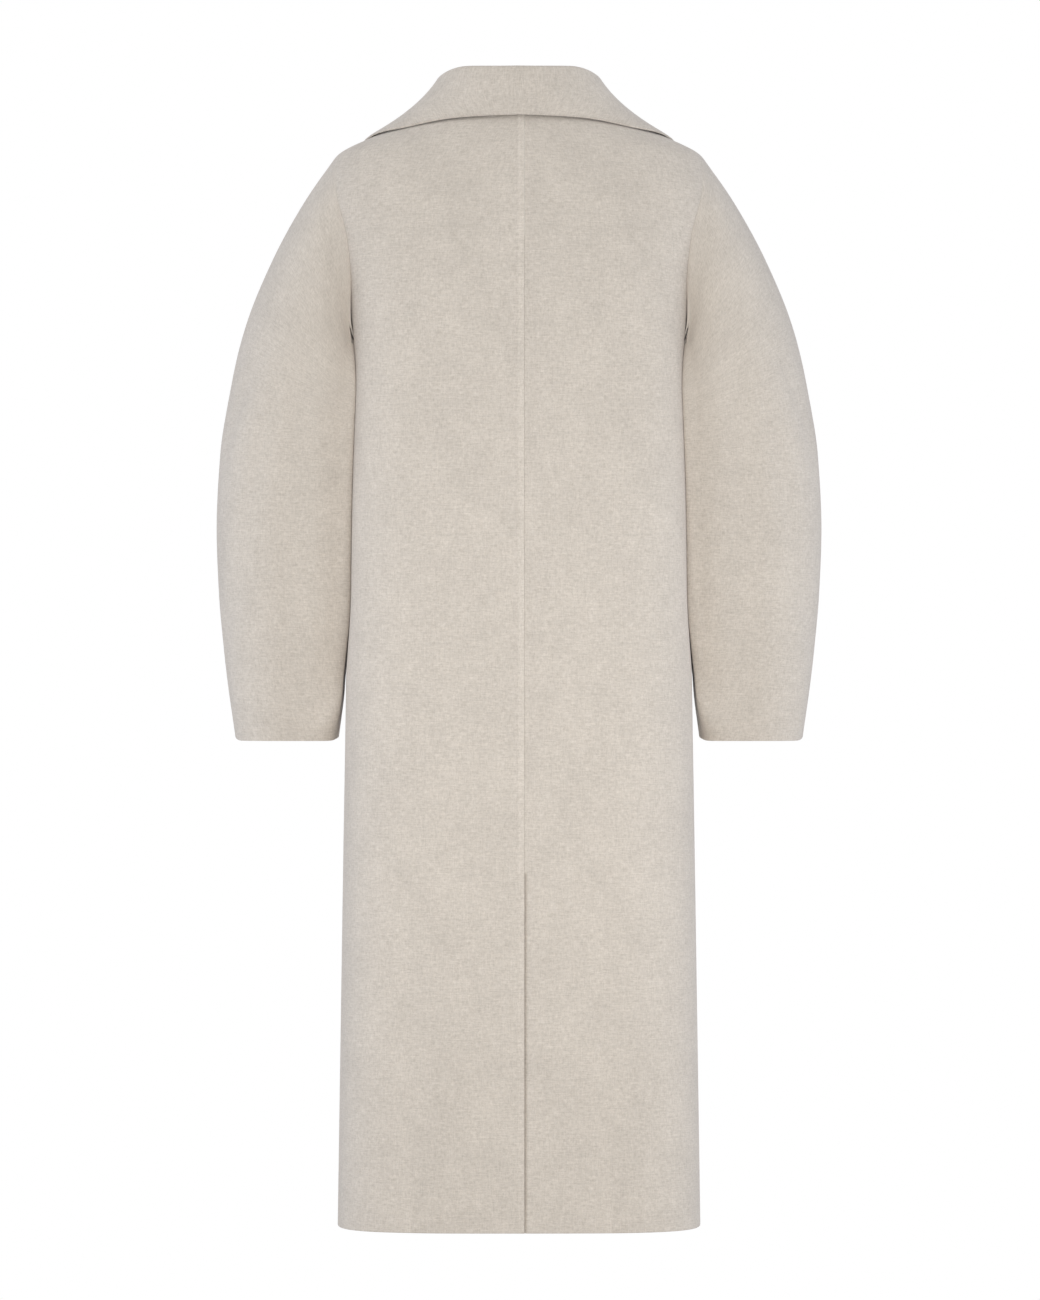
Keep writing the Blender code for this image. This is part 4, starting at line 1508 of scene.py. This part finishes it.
@dataclass
class Collar:
    """The collar: a stand, a roll and a fall, with a notch at each end."""

    cut: Cut = Cut(0.62, 0.13, 0.058)
    thick: float = 0.0044
    lip_rim: float = 0.0012
    lip_steps: int = 10  # mesh steps round the lip
    lip_drop: float = 0.0020  # how far the fall's edge turns down towards the back
    lip_from: float = 0.86  # that turn starts at this share of the fall's width
    shoulder_thin: float = 0.50  # share of its thickness that its edge loses where it lies over the shoulder
    shoulder_from: float = 2.1  # it comes onto the shoulder between the first two of these rows
    shoulder_full: float = 3.0
    shoulder_leaves: float = 3.2  # and leaves it between the last two
    shoulder_end: float = 4.2
    thin_from: float = 0.4  # it gets thinner from this share of the fall's width on
    lean: float = 0.002  # how far the stand leans in towards the neck
    fall_pull: float = 0.45  # how long the fall keeps the slope with which it leaves the roll
    tip_from: float = 3.0  # from this row on the stand turns from upright to square off the front
    end: float = 4.985  # just short of the last row, which is the gorge seam
    end_cut: float = 0.24  # how much of its half length it loses at its tip, which opens the notch
    notch_at: float = 0.55  # the notch starts at this share of the fall's width
    stand_points: int = 9
    roll_points: int = 16
    fall_points: int = 34
    half_steps: int = 78

    def _profile(self, place: Array) -> Array:
        """Sections of the collar: up the stand, over the roll, down the fall.

        Args:
            place: where along the collar, between its rows.

        Returns:
            Points by their order across, then by place.
        """
        sizes = np.moveaxis(between_rows(COLLAR_ROWS, place), -1, 0)
        neck_angle, stand, roll, edge_level, edge_angle, leave, edge_air = sizes
        neck_angle, edge_angle, leave = np.radians(neck_angle), np.radians(edge_angle), np.radians(leave)
        top = np.full_like(place, NECK_LEVEL)
        neck = BODY.point(top, neck_angle)
        edge = BODY.off(edge_level, edge_angle, CLOTH + edge_air)
        tip = ramp(place, self.tip_from, len(COLLAR_ROWS) - 1.0)[..., None]
        up = unit((1 - tip) * np.array([0.0, 0.0, 1.0]) + tip * BODY.normal(top, neck_angle))
        reach = edge - neck
        out = unit(reach - (reach * up).sum(-1, keepdims=True) * up)
        edge_out, edge_up = (reach * out).sum(-1), (reach * up).sum(-1)
        across, rise = [], []
        for share in np.linspace(0, 1, self.stand_points, endpoint=False):
            across.append(-CLOTH - self.lean * share + 0 * place)
            rise.append(SEAM + (stand - roll - SEAM) * share)
        for share in np.linspace(0, 1, self.roll_points):
            turn = math.pi + (-math.pi / 2 - leave) * share
            across.append(roll - CLOTH - self.lean + roll * np.cos(turn))
            rise.append(stand - roll + roll * np.sin(turn))
        start_out, start_up = across[-1], rise[-1]
        pull = self.fall_pull * np.hypot(edge_out - start_out, edge_up - start_up)
        bend_out, bend_up = start_out + pull * np.cos(leave), start_up - pull * np.sin(leave)
        for share in np.linspace(0, 1, self.fall_points)[1:]:
            early, middle, late = (1 - share) ** 2, 2 * share * (1 - share), share * share
            across.append(early * start_out + middle * bend_out + late * edge_out)
            rise.append(early * start_up + middle * bend_up + late * edge_up)
        return neck + np.stack(across)[..., None] * out + np.stack(rise)[..., None] * up

    def build(self, finishes: Finishes) -> list[Piece]:
        """Makes and dresses the collar.

        Args:
            finishes: the coat's materials.

        Returns:
            The collar.
        """
        half = np.linspace(0, 1, self.half_steps + 1)
        fall_share = np.zeros(self.stand_points + self.roll_points + self.fall_points - 1)
        fall_share[-self.fall_points :] = np.linspace(0, 1, self.fall_points)
        lost = self.end_cut * past(fall_share, self.notch_at)
        columns = [self._profile(half * self.end * (1 - lost[index]))[index] for index in range(len(lost))]
        left = np.stack(columns, axis=1)
        face = np.concatenate([left[:0:-1] * Side.RIGHT.mirror, left])
        normal = unit(np.cross(np.gradient(face, axis=0), np.gradient(face, axis=1)))
        place = np.abs(np.linspace(-self.end, self.end, len(face)))
        over_shoulder = ramp(place, self.shoulder_from, self.shoulder_full)
        over_shoulder = over_shoulder * (1 - ramp(place, self.shoulder_leaves, self.shoulder_end))
        thin = self.shoulder_thin * over_shoulder[:, None] * ramp(fall_share, self.thin_from, 1.0)
        drop = self.lip_drop * (1 - thin) * past(fall_share, self.lip_from) ** 2
        thick = self.thick * (1 - thin) - drop
        rims = Rims(FREE_RIM, FREE_RIM, SEAM_RIM, self.lip_rim)
        shell = Shell(face - normal * drop[..., None], normal, thick, rims, rim_steps=self.lip_steps)
        return add_cloth(shell, "collar", (finishes.outside, finishes.outside))


@dataclass
class Lapel:
    """A lapel: the front's cloth turned round the roll line and laid back over the front."""

    side: Side
    cut: Cut = Cut(0.14, 0.37, 0.03)
    width: float = 0.118
    belly: float = 1.4  # above 1, its edge bows out
    start: float = 0.06  # where it starts, as a share of the roll line
    top_air: float = 0.0035  # how much more air its roll has at the top
    top_from: float = 0.80  # the share of the roll line where that starts
    air_fade: float = 1.5  # how fast it lies down beside the roll
    turn_points: int = 14
    flat_points: int = 30
    along: int = 84

    def build(self, finishes: Finishes) -> list[Piece]:
        """Makes and dresses the lapel.

        Args:
            finishes: the coat's materials.

        Returns:
            The lapel.
        """
        share = np.linspace(self.start, 1, self.along)
        run_x, run_z = LAY.gorge_x + LAY.lap, GORGE_Z - BREAK_Z
        roll_x, roll_z = -LAY.lap + run_x * share, BREAK_Z + run_z * share
        length = math.hypot(run_x, run_z)
        out_x, out_z = run_z / length, -run_x / length
        width = self.width * (1 - (1 - share) ** self.belly)
        air = LAPEL_AIR + self.top_air * ramp(share, self.top_from, 1.0)
        edge = LAY.on_front(self.side, roll_x, roll_z, 0.0)
        upward = unit(LAY.on_front(self.side, roll_x, roll_z, NUDGE) - edge)
        out = unit(LAY.on_front(self.side, roll_x + NUDGE * out_x, roll_z + NUDGE * out_z, 0.0) - edge)
        face, back = [], []
        radius = CLOTH + air / 2
        for turn in np.linspace(1.5 * math.pi, 0.5 * math.pi, self.turn_points):
            for grid, reach in ((face, radius), (back, radius - CLOTH)):
                across = -SEAM + reach * math.cos(turn)
                rise = radius - CLOTH + reach * math.sin(turn)
                grid.append(edge + across[:, None] * out + rise[:, None] * upward)
        for part in np.linspace(0, 1, self.flat_points)[1:]:
            x, z = roll_x + part * width * out_x, roll_z + part * width * out_z
            height = LAPEL_AIR + (air - LAPEL_AIR) * (1 - part) ** self.air_fade
            face.append(LAY.on_front(self.side, x, z, height + CLOTH))
            back.append(LAY.on_front(self.side, x, z, height))
        face, back = np.stack(face, axis=1), np.stack(back, axis=1)
        normal = unit(face - back) * self.side.mirror
        shell = Shell(face * self.side.mirror, normal, CLOTH, Rims(FREE_RIM, FREE_RIM, SEAM_RIM, FREE_RIM))
        faces = (finishes.outside, finishes.outside)
        return add_cloth(shell, f"lapel_{self.side.word}", faces)


def add_solid(name: str, edit: bmesh.types.BMesh, finish: Material) -> Piece:
    """Makes a smooth object of an edited mesh.

    Args:
        name: the piece's name.
        edit: its mesh, which is freed.
        finish: its material.

    Returns:
        The new object, linked to the scene.
    """
    bmesh.ops.recalc_face_normals(edit, faces=edit.faces)
    mesh = bpy.data.meshes.new(name)
    edit.to_mesh(mesh)
    edit.free()
    mesh.materials.append(finish)
    mesh.shade_smooth()
    made = bpy.data.objects.new(name, mesh)
    bpy.context.scene.collection.objects.link(made)
    return made


class Place(NamedTuple):
    """A spot on the cloth and the directions there."""

    middle: Array
    sideways: Array
    upwards: Array
    outwards: Array

    def at(self, aside: float, up: float, out: float) -> Vector:
        """A point given by its distances from the spot."""
        return Vector(self.middle + self.sideways * aside + self.upwards * up + self.outwards * out)


def circle(radius: float, count: int) -> list[tuple[float, float]]:
    """Points round a circle, aside and up."""
    turns = [2 * math.pi * step / count for step in range(count)]
    return [(radius * math.cos(turn), radius * math.sin(turn)) for turn in turns]


def add_tube(
    edit: bmesh.types.BMesh, path: Sequence[Vector], radius: float, segments: int, closed: bool = False
) -> None:
    """Adds a round tube along points to a mesh.

    Args:
        edit: the mesh.
        path: the tube's middle line.
        radius: half its thickness.
        segments: sides of the tube.
        closed: whether its end joins its start.
    """
    count = len(path)
    rings = []
    for index, point in enumerate(path):
        before = path[index - 1] if closed or index > 0 else point
        after = path[(index + 1) % count] if closed or index < count - 1 else point
        run = (after - before).normalized()
        first = run.orthogonal().normalized() if index == 0 else (first - run * first.dot(run)).normalized()
        second = run.cross(first)
        spokes = [first * aside + second * up for aside, up in circle(1.0, segments)]
        rings.append([edit.verts.new(point + spoke * radius) for spoke in spokes])
    pairs = list(zip(rings, rings[1:])) + ([(rings[-1], rings[0])] if closed else [])
    for low, high in pairs:
        for step in range(segments):
            after = (step + 1) % segments
            edit.faces.new((low[step], low[after], high[after], high[step]))
    if not closed:
        edit.faces.new(rings[0])
        edit.faces.new(rings[-1])


class ButtonRow(NamedTuple):
    """A point of a button's outline, as shares of its radius and thickness."""

    radius: float
    height: float


BUTTON_OUTLINE = (
    ButtonRow(0.00, 0.00),
    ButtonRow(0.55, 0.00),
    ButtonRow(0.78, 0.08),
    ButtonRow(0.91, 0.22),
    ButtonRow(0.975, 0.40),
    ButtonRow(1.00, 0.58),
    ButtonRow(0.985, 0.78),
    ButtonRow(0.945, 0.92),
    ButtonRow(0.89, 0.995),
    ButtonRow(0.83, 1.00),
    ButtonRow(0.77, 0.94),
    ButtonRow(0.72, 0.82),
    ButtonRow(0.64, 0.75),
    ButtonRow(0.40, 0.70),
    ButtonRow(0.00, 0.68),
)


@dataclass
class Button:
    """A dished four-hole button, its thread and its wound shank."""

    node: str
    x: float
    z: float
    radius: float = 0.014
    thick: float = 0.0042
    segments: int = 56
    hole_radius: float = 0.0011
    hole_apart: float = 0.0026  # from the button's middle to a hole's, aside and up
    hole_segments: int = 20
    drill_past: float = 0.002  # how far the drill goes past both faces
    crisp_degrees: float = 50.0  # edges that turn more than this stay crisp
    thread_radius: float = 0.00036
    thread_segments: int = 8
    strand_apart: float = 0.00062
    dish: float = 0.70  # share of its thickness at the holes
    thread_below: float = 0.0002  # how far the thread goes past its back
    arch_at: float = 0.7  # at this share of the way to a hole
    arch_low: float = 0.00055  # the thread stands this far off the face
    arch_high: float = 0.0007  # and this far at the middle
    shank: float = 0.0014
    shank_radius: float = 0.0031
    windings: int = 5
    winding_points: int = 24
    winding_segments: int = 6

    def place(self) -> Place:
        """Finds where the button sits on the right front.

        Returns:
            The spot and its directions.
        """
        own_x, own_z = np.array([-self.x]), np.array([self.z])
        level, angle = BODY.front_at(own_x, own_z)
        mirror = Side.RIGHT.mirror
        middle = LAY.on_front(Side.RIGHT, own_x, own_z, 0.0)[0] * mirror
        axis = BODY.normal(level, angle)[0] * mirror
        sideways = unit(np.cross(np.array([0.0, 0.0, 1.0]), axis))
        return Place(middle, sideways, np.cross(axis, sideways), axis)

    def build(self, finishes: Finishes) -> list[Piece]:
        """Makes and dresses the button and its thread.

        Args:
            finishes: the coat's materials.

        Returns:
            The button, and the thread with the shank.
        """
        place = self.place()
        edit = bmesh.new()
        rings = []
        for row in BUTTON_OUTLINE:
            spots = circle(row.radius * self.radius, self.segments if row.radius else 1)
            out = self.shank + row.height * self.thick
            rings.append([edit.verts.new(place.at(aside, up, out)) for aside, up in spots])
        for low, high in zip(rings, rings[1:]):
            for step in range(self.segments):
                after = (step + 1) % self.segments
                lower = [low[step % len(low)], low[after % len(low)]]
                upper = [high[after % len(high)], high[step % len(high)]]
                edit.faces.new(list(dict.fromkeys(lower + upper)))
        made = add_solid(self.node + "_horn", edit, finishes.horn)
        self._drill(made, place)
        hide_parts(self.node)
        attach(made, "root")
        return [made, self._sew(place, finishes.thread)]

    def _drill(self, made: Piece, place: Place) -> None:
        """Cuts the four holes through the button.

        Args:
            made: the button.
            place: where it sits.
        """
        edit = bmesh.new()
        low, high = self.shank - self.drill_past, self.shank + self.thick + self.drill_past
        for aside in (-self.hole_apart, self.hole_apart):
            for up in (-self.hole_apart, self.hole_apart):
                ends = [place.at(aside, up, low), place.at(aside, up, high)]
                add_tube(edit, ends, self.hole_radius, self.hole_segments)
        cutter = add_solid("holes", edit, made.data.materials[0])
        cut = made.modifiers.new("holes", "BOOLEAN")
        cut.operation = "DIFFERENCE"
        cut.object = cutter
        graph = bpy.context.evaluated_depsgraph_get()
        drilled = bpy.data.meshes.new_from_object(made.evaluated_get(graph))
        made.modifiers.clear()
        made.data = drilled
        drilled.shade_smooth()
        drilled.set_sharp_from_angle(angle=math.radians(self.crisp_degrees))
        bpy.data.objects.remove(cutter)

    def _sew(self, place: Place, finish: Material) -> Piece:
        """Adds the thread over the button's face and the wound shank under it.

        Args:
            place: where the button sits.
            finish: the thread's material.

        Returns:
            The thread.
        """
        edit = bmesh.new()
        half = self.hole_apart
        face = self.shank + self.thick * self.dish
        stops = (
            (-half, self.shank - self.thread_below),
            (-half, face),
            (-half * self.arch_at, face + self.arch_low),
            (0.0, face + self.arch_high),
        )
        for across in (-half, half):
            for strand in (-1, 0, 1):
                aside = across + strand * self.strand_apart
                path = [place.at(aside, up, out) for up, out in stops]
                path += [place.at(aside, -up, out) for up, out in reversed(stops[:-1])]
                add_tube(edit, path, self.thread_radius, self.thread_segments)
        for winding in range(self.windings):
            out = self.shank * (winding + 0.5) / self.windings
            path = [place.at(aside, up, out) for aside, up in circle(self.shank_radius, self.winding_points)]
            add_tube(edit, path, self.thread_radius, self.winding_segments, closed=True)
        made = add_solid(self.node + "_thread", edit, finish)
        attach(made, "root")
        return made


@dataclass
class Buttonhole:
    """A worked buttonhole beside a fastened button: a welt of thread round a narrow slit."""

    name: str
    button: Button
    length: float = 0.032
    half_width: float = 0.0016
    welt_radius: float = 0.0010
    welt_height: float = 0.0004  # of its middle line over the cloth
    welt_segments: int = 10
    past_shank: float = 0.004
    side_points: int = 40
    end_points: int = 10

    def _outline(self) -> list[tuple[float, float]]:
        """Goes round the slit.

        Returns:
            Points aside and up from the button's shank.
        """
        points = []
        near, far = self.past_shank, self.past_shank - self.length
        for start, end, edge in ((near, far, 1), (far, near, -1)):
            for share in np.linspace(0, 1, self.side_points, endpoint=False):
                points.append((start + (end - start) * share, edge * self.half_width))
            first = edge * math.pi / 2
            for turn in np.linspace(first, first + math.pi, self.end_points, endpoint=False):
                points.append((end + self.half_width * math.cos(turn), self.half_width * math.sin(turn)))
        return points

    def build(self, finishes: Finishes) -> list[Piece]:
        """Makes and dresses the buttonhole.

        Args:
            finishes: the coat's materials.

        Returns:
            The buttonhole.
        """
        edit = bmesh.new()
        path = []
        for aside, up in self._outline():
            x, z = np.array([-(self.button.x + aside)]), np.array([self.button.z + up])
            path.append(Vector(LAY.on_front(Side.RIGHT, x, z, self.welt_height)[0] * Side.RIGHT.mirror))
        add_tube(edit, path, self.welt_radius, self.welt_segments, closed=True)
        made = add_solid(self.name, edit, finishes.thread)
        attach(made, "root")
        return [made]


@dataclass(frozen=True)
class SoftLight:
    """A large studio light that the camera doesn't see."""

    name: str
    place: tuple[float, float, float]
    aim: tuple[float, float, float]
    power: float
    size: float
    colour: Colour = (1.0, 1.0, 1.0)

    def add(self) -> None:
        """Adds the light."""
        data = bpy.data.lights.new(self.name, "AREA")
        data.energy = self.power
        data.size = self.size
        data.color = self.colour
        made = bpy.data.objects.new(self.name, data)
        bpy.context.scene.collection.objects.link(made)
        made.location = self.place
        made.rotation_euler = (Vector(self.aim) - Vector(self.place)).to_track_quat("-Z", "Y").to_euler()
        made.visible_camera = False


WARM: Colour = (1.0, 0.985, 0.960)
COOL: Colour = (0.850, 0.905, 1.0)
STUDIO_LIGHTS = (
    SoftLight("back_left_light", (0.14, 1.30, -0.42), (0.0, 0.0, -0.46), 2.6, 0.6, WARM),
    SoftLight("back_right_light", (-0.26, 1.30, -0.76), (0.0, 0.0, -0.74), 4.55, 0.6, WARM),
    SoftLight("front_left_light", (0.20, -1.30, -0.54), (0.0, 0.0, -0.56), 4.0, 0.6, WARM),
    SoftLight("front_right_light", (-0.20, -1.30, -0.60), (0.0, 0.0, -0.62), 4.0, 0.6, WARM),
    SoftLight("side_left_light", (1.60, 0.30, -0.68), (0.0, 0.0, -0.66), 9.8, 1.2, COOL),
    SoftLight("side_right_light", (-1.60, 0.30, -0.62), (0.0, 0.0, -0.60), 8.7, 1.2, COOL),
    SoftLight("top_light", (0.16, 0.50, 1.55), (0.0, 0.0, -0.10), 10.8, 1.7, WARM),
)


@dataclass
class Studio:
    """The pale floor, the white surroundings, the lights and the camera."""

    camera_distance: float = 7.2
    camera_x: float = -0.001
    camera_z: float = -0.5658
    metres_per_pixel: float = 1.04e-3
    picture_height: int = 1300
    sensor: float = 36.0
    floor_z: float = -1.50
    floor_radius: float = 2.6
    floor_segments: int = 128
    floor_colour: Colour = (0.58, 0.55, 0.51)
    floor_roughness: float = 0.9
    fade_from: float = 0.15  # shares of its radius between which it fades to white
    fade_to: float = 0.95
    white: Colour = (1.0, 1.0, 1.0)
    surround: float = 0.46  # how strongly the surroundings light the coat

    def build(self) -> None:
        """Adds everything."""
        self._world()
        self._floor()
        self._camera()
        for light in STUDIO_LIGHTS:
            light.add()
        bpy.context.scene.view_settings.view_transform = "Standard"

    def _world(self) -> None:
        """White surroundings, shown at full white."""
        world = bpy.data.worlds.new("surroundings")
        bpy.context.scene.world = world
        world.use_nodes = True
        board, nodes = NodeBoard(world.node_tree), world.node_tree.nodes
        lit = board.fill(nodes["Background"], color=(*self.white, 1.0), strength=self.surround)
        shown = board.add("Background", color=(*self.white, 1.0), strength=1.0)
        path = board.add("LightPath")
        board.blend(path.outputs["Is Camera Ray"], lit, shown, nodes["World Output"])

    def _floor(self) -> None:
        """A plain pale floor below the coat, which fades into the white surroundings."""
        edit = bmesh.new()
        bmesh.ops.create_circle(edit, cap_ends=True, radius=self.floor_radius, segments=self.floor_segments)
        finish, board, shader = new_finish("pale_floor")
        board.fill(shader, base_color=(*self.floor_colour, 1.0), roughness=self.floor_roughness)
        place = board.add("TexCoord").outputs["Object"]
        fade = board.add(
            "MapRange",
            interpolation_type="SMOOTHSTEP",
            value=board.add("VectorMath", operation="LENGTH", vector=place).outputs["Value"],
            from_min=self.floor_radius * self.fade_from,
            from_max=self.floor_radius * self.fade_to,
        )
        # Painted glow: to the camera the floor glows white more and more towards its rim, so that it fades
        # into the white surroundings
        path = board.add("LightPath")
        seen = board.value("MULTIPLY", fade.outputs[0], path.outputs["Is Camera Ray"])
        board.blend(seen, shader, board.add("Emission"), finish.node_tree.nodes["Material Output"])
        made = add_solid("floor", edit, finish)
        made.location.z = self.floor_z

    def _camera(self) -> None:
        """A level camera behind the coat, framed as in the photograph."""
        data = bpy.data.cameras.new("camera")
        data.sensor_width = self.sensor
        data.lens = self.sensor * self.camera_distance / (self.picture_height * self.metres_per_pixel)
        made = bpy.data.objects.new("camera", data)
        bpy.context.scene.collection.objects.link(made)
        made.location = (self.camera_x, self.camera_distance, self.camera_z)
        made.rotation_euler = (math.pi / 2, 0.0, math.pi)
        bpy.context.scene.camera = made


def main() -> None:
    """Builds the coat's pieces in order and reports each one, then adds the studio."""
    logging.basicConfig(level=logging.INFO, format="%(name)s: %(message)s")
    finishes = Finishes.make()
    assemblies: list[Assembly] = []
    for side in Side:
        assemblies += [BackPanel(side), FrontPanel(side), Sleeve(side), Lapel(side)]
    assemblies.append(Collar())
    for side in Side:
        for number, z in enumerate(BUTTON_Z, start=1):
            button = Button(f"button_{side.word}_{number}", side.value * BUTTON_X, z)
            assemblies.append(button)
            if side is Side.LEFT:
                assemblies.append(Buttonhole(f"buttonhole_{number}", button))
    for assembly in assemblies:
        for made in assembly.build(finishes):
            LOG.info("%s: %d faces", made.name, len(made.data.polygons))
    Studio().build()


if __name__ == "__main__":
    main()
